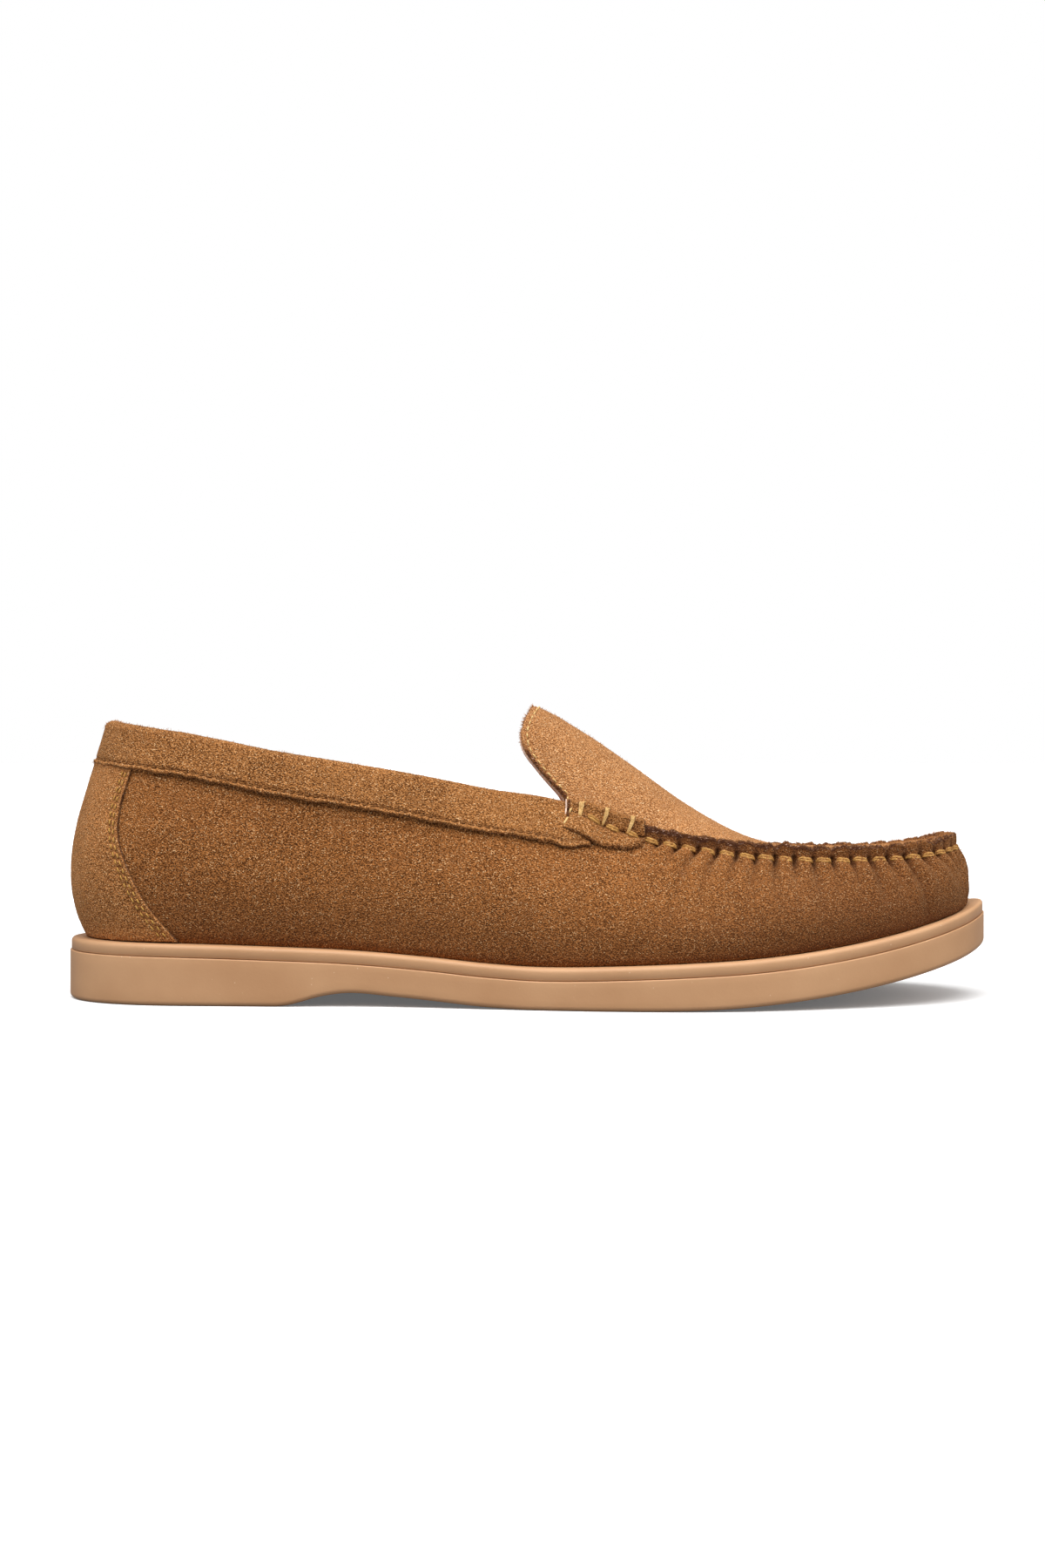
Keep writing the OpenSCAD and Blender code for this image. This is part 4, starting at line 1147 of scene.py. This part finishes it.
def tab_station(side, t):
    """Station of a tab at share t of its length from the throat."""
    return TOE + side * (PLUG_SPAN - TOE_GAP - TAB_RUN * t)


def tab_rise(s, t):
    """Height of a tab's underside above the seam: over the lip, and over the collar's roll."""
    return np.maximum(lip_at(s) + 2 * PLY, 3.1 * ease((0.3 - t) / 0.2))


def tab_lift(t):
    """How far a tab stands off the wall, where the collar's end lies under it."""
    return (COLLAR_T + 0.1) * ease((0.44 - t) / 0.14)


def tab_skive(t):
    """How far a tab's outer face falls back at its rear end, thinned to lie flush on the collar."""
    return ease((0.1 - t) / 0.13)


def throat_tab(side, name, node):
    """Strip folded over the start of the raised seam, pulled in by the stitches through it. Its
    outer face goes up beside the wall, past the seam, round the bend and across to the plug."""
    radius = TAB_T / 2
    t = np.concatenate([-0.05 + edge_steps(radius)[::-1] / TAB_MM, np.linspace(-0.01, 0.965, 80),
                        1 - edge_steps(radius) / TAB_MM])[:, None]
    s = tab_station(side, t)
    drop = tab_drop(t) + 0.2 * noise(t * 30, 71) + 0.1 * noise(t * 90, 72)
    steps = np.concatenate([edge_steps(radius)[::-1], [0.8, 1.1]])[None]
    share = np.concatenate([steps / drop, mix(1.4 / drop, 1.0, np.linspace(0, 1, 16)[None])], 1)
    inside = share * drop
    below = below_top(s, np.maximum(drop - inside, 0))
    end = np.minimum(1 - t, t + 0.05) * TAB_MM
    end_back = np.maximum(round_off(end, radius), tab_skive(t))
    back = np.maximum(round_off(inside, radius), end_back)
    hole = np.cos(2 * np.pi * (seam_phase(s) - HOLE)) * ease((t - 0.2) / 0.1)
    at_seam = hump(drop - inside - 0.4, 1.1)
    pull = at_seam * (0.32 + 0.28 * hole)
    flare = 0.18 * hump(inside - 0.9, 0.9) + 0.1 * noise2(t * 12, inside / 2, 73)
    chance = np.random.default_rng(74)
    flare = flare + NAP_JITTER * chance.uniform(-1, 1, flare.shape)

    lift = tab_lift(t)
    height = tab_rise(s, t)
    bend = 1.1
    turn = np.linspace(0, np.pi / 2, 7)[None]
    across = np.linspace(0, 1, 6)[None]
    climb = np.linspace(0.15, 1, 8)[None] * (height - bend + TAB_T)
    settle = lift * (1 - 0.6 * ease(climb / 3))
    whip = sum(hump(t - w, 0.06) for w in WHIP_AT)
    squeeze = 0.3 * whip - 0.15 * (1 - whip)
    rough = 0.1 * hole * hump(climb, 1.0) + NAP_JITTER * chance.uniform(-1, 1, climb.shape)
    over_z = height + TAB_T - end_back - 0.6 * squeeze
    outer = np.concatenate([
        wall_pt(s, below, TAB_FACE - lift + back + pull - flare),
        lip_pt(s, TAB_FACE - settle + end_back + squeeze * ease(climb / 2) + rough, climb),
        lip_pt(s, TAB_FACE - 0.4 * lift + end_back + bend * (1 - np.cos(turn)) + squeeze,
               over_z - bend * (1 - np.sin(turn))),
        lip_pt(s, mix(TAB_FACE + bend + 0.3, PLUG_IN + 0.15, across), over_z)], 1)
    under = 0.2 - PLY
    inner = np.concatenate([
        wall_pt(s, below, under - lift),
        lip_pt(s, under - settle, np.minimum(climb, height - 0.05)),
        lip_pt(s, under - 0.4 * lift + 0.1 * (1 - np.cos(turn)), height),
        lip_pt(s, mix(0.4, PLUG_IN + 0.1, across), height)], 1)
    loops = loop_of(outer, inner)

    cut, shade = blank_masks(loops)
    n, m = inside.shape[1], outer.shape[1]
    ahead = ease((t - 0.3) / 0.1)
    # painted shade: a dark line down the tab's rear end
    wear_and_painted_shade = hump(t + 0.005, 0.022)
    cut[:, :n] = np.maximum(cut_shade(np.minimum(inside, end), 0.12) * ahead,
                            wear_and_painted_shade * ease((3.4 - drop + inside) / 0.8))
    cut[:, n:m] = np.maximum(0.6 * ease((0.2 - end) / 0.15) * ahead, wear_and_painted_shade)
    cut[:, m:] = 0.8 * ahead
    # painted shade along the seam's stitches, near the tab's lower edge and under the whip stitches
    shade[:, :n] = at_seam * (0.25 + 0.35 * hole) + 0.2 * ease((1.4 - inside) / 1.4)
    shade[:, n:m] = 0.45 * whip
    build(name, [(loops, False)], TRIM_SUEDE, [node], {"cut": cut, "shade": shade})


# ---- stitches ----

def strand(path, normal, radius, sides, lobes=0.0, twist=0.0):
    """Tubes along paths of shape (count, rings, 3). Their section is a circle, with lobes that
    wind along the strand by the twist, and it closes to a small ring at both ends."""
    along = unit(np.gradient(path, axis=1))
    across = unit(np.cross(along, normal))
    up = np.cross(across, along)
    u = np.linspace(-1, 1, path.shape[1])[None, :, None, None]
    angle = (np.arange(sides) / sides * 2 * np.pi)[None, None, :, None]
    reach = radius * (1 - 0.65 * np.abs(u) ** 6) * (1 + lobes * np.cos(2 * angle - twist * u))
    section = np.cos(angle) * across[:, :, None] + np.sin(angle) * up[:, :, None]
    return path[:, :, None] + reach * section


def stitch_paths(line, starts, ends, lift, sink, rings, flat=4):
    """Centre lines that come up out of the leather, run over it and go down again. line gives a
    point for a place along the row, a depth, and the share of the stitch from -1 to 1."""
    u = np.linspace(0, 1, rings)[None]
    place = mix(starts[:, None], ends[:, None], u)
    depth = -lift + (lift + sink) * np.abs(2 * u - 1) ** flat
    path = line(place, depth, 2 * u - 1)
    normal = unit(line(place, depth - 0.5, 2 * u - 1) - path)
    return path, normal


def thread_piece(name, stacks, finish, nodes):
    """Piece made of stacks of strands, with painted shade where their ends enter the leather."""
    ends = [np.abs(np.linspace(-1, 1, k.shape[1]))[None, :, None] ** 4 for k in stacks]
    shade = np.concatenate([np.broadcast_to(u, k.shape[:3]).ravel() for u, k in zip(ends, stacks)])
    build(name, [(k, False) for k in stacks], finish, nodes, {"shade": shade})


def moccasin_stitches():
    """Thick waxed thread of the hand-sewn seam, over the tabs at both ends. Two plies lie side
    by side in each stitch, meet at its holes, and slope a little down towards the toe."""
    first = np.arange(SEAM_COUNT)
    jitter = np.random.default_rng(81).uniform(-0.05, 0.05, (4, SEAM_COUNT))
    starts, ends = first + jitter[0], first + STITCH_SHARE + jitter[1]
    slope = 0.25 + 3.0 * jitter[2][:, None]

    def line(phase, depth, u, ply):
        s = seam_station(phase)
        t = (PLUG_SPAN - TOE_GAP - np.abs(s - TOE)) / TAB_RUN
        on_tab = ease((1 - t) / 0.04) * (TAB_T + 0.05 + tab_lift(t))
        below = 0.45 + 2 * jitter[3][:, None] + slope * u * np.sign(TOE - s) + ply * (1 - np.abs(u) ** 3)
        return wall_pt(s, below_top(s, below), depth - on_tab + 0.12)

    stacks = []
    for ply, lift, radius in ((-0.36, 0.5, 0.45), (0.36, 0.42, 0.43)):
        path, normal = stitch_paths(lambda a, b, u: line(a, b, u, ply), starts, ends, lift, 1.0, 17, 6)
        stacks.append(strand(path, normal, radius, 10, 0.12, 7.0))
    thread_piece("hand_sewn_stitches", stacks, WAXED, ["moccasin_stitches"])


def whip_stitches():
    """Pale thread wrapped over the tabs: three strands that leave one hole and spread out as
    they climb, turn over the top and go down beside the plug."""
    t = np.array(WHIP_AT)[:, None]
    fan_width, lean = np.array([[1.25, 0.02], [0.9, 0.08], [0.8, 0.08]]).T[..., None]
    u = np.linspace(0, 1, 26)[None]
    over = np.clip((u - 0.6) / 0.4, 0, 1)
    stacks = []
    for side in (-1, 1):
        for fan in (-1, 0, 1):
            here = t + (0.021 * u + 0.006) * fan * fan_width - lean * (1 - np.minimum(u / 0.55, 1))
            s = tab_station(side, here)
            top = tab_rise(s, here) + TAB_T
            up = mix(-0.7, top - 0.5, np.clip(u / 0.6, 0, 1)) + 0.62 * ease((u - 0.5) / 0.12)
            up = up - 1.8 * ease((over - 0.75) / 0.25)
            lift = tab_lift(here) * (1 - 0.6 * ease(up / 3)) * (1 - over)
            depth = TAB_FACE - 0.12 - lift + 1.2 * hump(u, 0.06) + 0.25 * ease((u - 0.4) / 0.2)
            depth = depth + (PLUG_IN - TAB_FACE + 0.5) * over ** 1.1
            path = lip_pt(s, depth, up)
            normal = unit(lip_pt(s, depth - 0.5 * (1 - over), up + 0.5 * (0.2 + over)) - path)
            stacks.append(strand(path, normal, 0.27, 8, 0.06, 6.0))
    thread_piece("tab_whip_stitches", stacks, PALE_THREAD, ["whip_stitches"])


def tab_strand(side, t, up, out, radius):
    """Strand down a tab's face: its shares along the tab, heights above the seam or below it, and
    depth off the face."""
    s = tab_station(side, t)
    depth = TAB_FACE - tab_lift(t) + tab_skive(t) + out
    path = np.where(up[..., None] > 0, lip_pt(s, depth, np.maximum(up, 0)),
                    wall_pt(s, below_top(s, np.maximum(-up, 0)), depth))
    return strand(path, np.broadcast_to(np.array([0.0, side, 0.3]), path.shape), radius, 6)


def tongue_tail(side):
    """Last, longer stitches of the tongue's row, which run down over the rear of a tab."""
    u = np.linspace(0, 1, 9)[None]
    out = 0.8 * np.abs(2 * u - 1) ** 6 - 0.1
    return [tab_strand(side, start + lean * u, mix(high, low, u), out, 0.34)
            for start, lean, high, low in ((0.035, -0.02, 1.4, -1.6), (0.005, -0.05, -2.6, -5.4))]


def machine_row(line, length, phase, lift, sink=0.45, share=FINE_SHARE):
    """Row of machine stitches along a running length, one pitch apart."""
    starts = np.arange(phase, length, FINE_PITCH)
    path, normal = stitch_paths(line, starts, starts + share * FINE_PITCH, lift, sink, 6, 3)
    return strand(path, normal, FINE_THREAD_D / 2, 6)


def collar_stitches():
    """Machine stitches above the collar's cut edge, sunk into the suede."""
    def line(run, depth, _):
        s = np.interp(run, COLLAR_LENGTH, COLLAR_S)
        return wall_pt(s, below_top(s, COLLAR_W - STITCH_INSET), depth - PLY - COLLAR_T)

    phase = (1 - FINE_SHARE) / 2 * FINE_PITCH
    row = machine_row(line, COLLAR_LENGTH[-1] - 3 + phase, 1.0 + phase, -0.28, 0.8)
    thread_piece("collar_edge_stitches", [row], DARK_THREAD, ["collar_stitches"])


def heel_patch_stitches():
    """Two rows of machine stitches behind each front edge of the heel patch."""
    v = np.linspace(0.03, float(below_top(np.array(1.7), COLLAR_W + 0.6)), 200)

    def row(side, back):
        station = lambda share: side * (patch_edge(share) - back / STATION_MM)
        run = length_along(lambda share: wall_pt(station(share), share), v)

        def line(at, depth, _):
            share = np.interp(at, run, v)
            return wall_pt(station(share), share, depth - PATCH_GAP - PATCH_T)
        return machine_row(line, run[-1] - 2, 0.5, 0.02, 0.5)

    stacks = [row(side, back) for side in (-1, 1) for back in PATCH_ROWS]
    thread_piece("heel_patch_edge_stitches", stacks, FINE_THREAD, ["heel_patch_stitches"])


def tongue_stitches():
    """Machine stitches along the tongue's cut edge, which hold its lining."""
    q = np.linspace(-0.86, 0.86, 600)
    place = lambda q: 2 - 1.25 * STITCH_INSET / np.maximum(tongue_back(q), 2.4)
    run = length_along(lambda a: plug_pt(place(a), a), q)

    def line(at, depth, _):
        share = np.interp(at, run, q)
        return plug_pt(place(share), share, depth)

    row = machine_row(line, run[-1] - 2, 0.5, 0.34, 0.5, 0.82)
    thread_piece("tongue_edge_stitches", [row, *tongue_tail(-1), *tongue_tail(1)], EDGE_THREAD,
                 ["tongue_stitches"])


# ---- loose fibres ----

def fibres(name, tufts, length, seed):
    """Short loose fibres: bent, four-sided threads that stand on a surface and lean at random.
    Each tuft is (roots, directions)."""
    chance = np.random.default_rng(seed)
    roots = np.concatenate([root for root, _ in tufts])
    away = unit(np.concatenate([way for _, way in tufts]))
    lean = unit(away + 0.65 * chance.normal(0, 1, away.shape))[:, None]
    bend = 0.4 * chance.normal(0, 1, away.shape)[:, None]
    reach = length * chance.uniform(0.35, 1, (len(roots), 1, 1))
    u = np.linspace(0, 1, 3)[None, :, None]
    path = roots[:, None] - 0.2 * away[:, None] + (reach + 0.2) * (u * lean + u * u * bend)
    normal = unit(np.cross(lean, np.array([0.31, 0.52, 0.8])))
    build(name, [(strand(path, np.broadcast_to(normal, path.shape), 0.06, 4), False)], FIBRE)


def tuft(surface, count, seed, *spans):
    """Roots spread at random over a surface of two shares, and directions off it."""
    a, b = (np.random.default_rng([seed, k]).uniform(*spans[k], count) for k in (0, 1))
    roots = surface(a, b, 0.0)
    return roots, surface(a, b, 1.0) - roots


def loose_fibres():
    """Fibres at the cut edges, and a thin scatter over the nap that softens the outline."""
    def roll(s, turn, lift):
        out = COLLAR_OUT + lift
        return wall_pt(s, 1.0, COLLAR_MID - out * np.cos(turn), out * np.sin(turn))

    def side(s, v, lift):
        return wall_pt(s, v, -gathers(s, (1 - v) * wall_height(s)) - lift)

    def lip(s, share, lift):
        return lip_pt(s, share * PLUG_IN, lip_height(s, 21) - 0.3 + lift)

    def collar_edge(s, share, lift):
        return wall_pt(s, below_top(s, COLLAR_W + lift), -PLY - share * COLLAR_T - 0.5 * lift)

    def tongue_edge(q, share, lift):
        return plug_pt(2.0, q, share * SUEDE_T - 0.3 * lift) - vec(0.8 * lift, 0, 0)

    def tab_edge(t, share, lift):
        s = tab_station(-1, t)
        depth = -PLY - share * TAB_T - tab_lift(t) - 0.4 * lift
        return wall_pt(s, below_top(s, tab_drop(t) + 0.6 * lift), depth)

    def top(p, q, lift):
        return plug_pt(p, q, -lift)

    seam = (THROAT + TAB_RUN, TURN - THROAT - TAB_RUN)
    topline = (-THROAT, THROAT)
    fibres("raw_edge_fibres", [
        tuft(lip, 3600, 1, seam, (0, 1)),
        tuft(collar_edge, 1500, 2, topline, (0.1, 1)),
        tuft(tongue_edge, 900, 3, (-0.98, 0.98), (0, 1)),
        tuft(tab_edge, 250, 4, (0.3, 0.98), (0, 1))], 0.75, 91)
    fibres("wall_nap_fibres", [
        tuft(side, 5200, 5, (0, TURN), (0.03, 0.99)),
        tuft(roll, 3400, 6, topline, (0, np.pi))], 0.5, 92)
    fibres("plug_nap_fibres", [
        tuft(top, 5000, 7, (0.1, 1), (-0.95, 0.95)),
        tuft(top, 900, 8, (1, 1.9), (-0.95, 0.95))], 0.5, 93)


# ---- hidden parts keep their own solids ----

def hidden_parts():
    """Finishes of the parts inside the shoe."""
    looks = {
        "bottom_filler": plain("cork", rgb(176, 132, 88), rgb(112, 76, 46), 420.0, 0.9),
        "shank": plain("spring_steel", rgb(176, 180, 186), rgb(132, 136, 142), 90.0, 0.38, 1.0),
        "insole_board": plain("fibre_board", rgb(196, 164, 122), rgb(168, 134, 94), 600.0, 0.85),
        "heel_pad": plain("foam", rgb(232, 224, 204), rgb(206, 194, 168), 900.0, 0.92),
        "heel_stiffener": plain("stiffener_board", rgb(210, 186, 154), rgb(176, 148, 114), 500.0, 0.8),
    }
    for node, material in looks.items():
        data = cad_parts[node].data
        data.materials.clear()
        data.materials.append(material)


# ---- floor, light and camera ----

def studio():
    """White floor and surround, soft lights, and the camera level with the tongue's top."""
    floor_mat, t = new_material("studio_floor")
    seen = t.add("ShaderNodeLightPath").outputs["Is Camera Ray"]
    t.feed(t.shader.inputs["Base Color"], t.blend(seen, (0.26, 0.26, 0.27, 1), (0.95, 0.95, 0.95, 1)))
    t.feed(t.shader.inputs["Emission Strength"], t.math("MULTIPLY", seen, 0.12))
    t.shader.inputs["Roughness"].default_value = 0.95
    t.shader.inputs["Specular IOR Level"].default_value = 0.0
    t.shader.inputs["Emission Color"].default_value = (1, 1, 1, 1)
    half = 6.0
    mesh = bpy.data.meshes.new("studio_floor")
    corners = [(-half, -half, 0), (half, -half, 0), (half, half, 0), (-half, half, 0)]
    mesh.from_pydata(corners, [], [(0, 1, 2, 3)])
    mesh.materials.append(floor_mat)
    floor = bpy.data.objects.new("studio_floor", mesh)
    bpy.context.scene.collection.objects.link(floor)

    world = bpy.data.worlds.new("studio")
    bpy.context.scene.world = world
    world.use_nodes = True
    sky = Tree(world.node_tree)
    seen = sky.add("ShaderNodeLightPath").outputs["Is Camera Ray"]
    ground = world.node_tree.nodes["Background"]
    sky.feed(ground.inputs["Color"], (1, 1, 1, 1))
    sky.feed(ground.inputs["Strength"], sky.span(seen, 0.0, 1.0, 0.27, 1.0))

    def sun(name, towards, width, power):
        data = bpy.data.lights.new(name, "SUN")
        data.angle, data.energy = math.radians(width), power
        item = bpy.data.objects.new(name, data)
        item.rotation_mode = "QUATERNION"
        item.rotation_quaternion = Vector(towards).to_track_quat("-Z", "Y")
        bpy.context.scene.collection.objects.link(item)

    sun("top_light", (0.08, 0.45, -1.0), 60, 3.4)
    sun("left_light", (0.9, 0.4, -0.5), 50, 0.4)
    sun("right_light", (-0.9, 0.4, -0.6), 50, 0.95)
    bpy.context.scene.view_settings.view_transform = "Standard"

    camera = bpy.data.objects.new("camera", bpy.data.cameras.new("camera"))
    camera.data.lens, camera.data.sensor_width = 59.52, 36.0
    camera.data.shift_x, camera.data.shift_y = -0.0036, -0.0333
    camera.data.clip_start, camera.data.clip_end = 0.05, 50.0
    camera.location = (0, -0.837, 0.085)
    camera.rotation_euler = (math.pi / 2, 0, 0)
    bpy.context.scene.collection.objects.link(camera)
    bpy.context.scene.camera = camera


studio()
outsole()
midsole()
sock_liner()
vamp_wall()
plug()
plug_lining()
lining("vamp_lining_leather", "vamp_lining", THROAT + 0.03, TURN - THROAT - 0.03, 2.6)
lining("quarter_lining_leather", "quarter_lining", -THROAT, THROAT, 0.0)
heel_patch()
collar_band()
throat_tab(-1, "outer_tab_suede", "outer_throat_tab")
throat_tab(1, "inner_tab_suede", "inner_throat_tab")
moccasin_stitches()
whip_stitches()
collar_stitches()
heel_patch_stitches()
tongue_stitches()
loose_fibres()
hidden_parts()
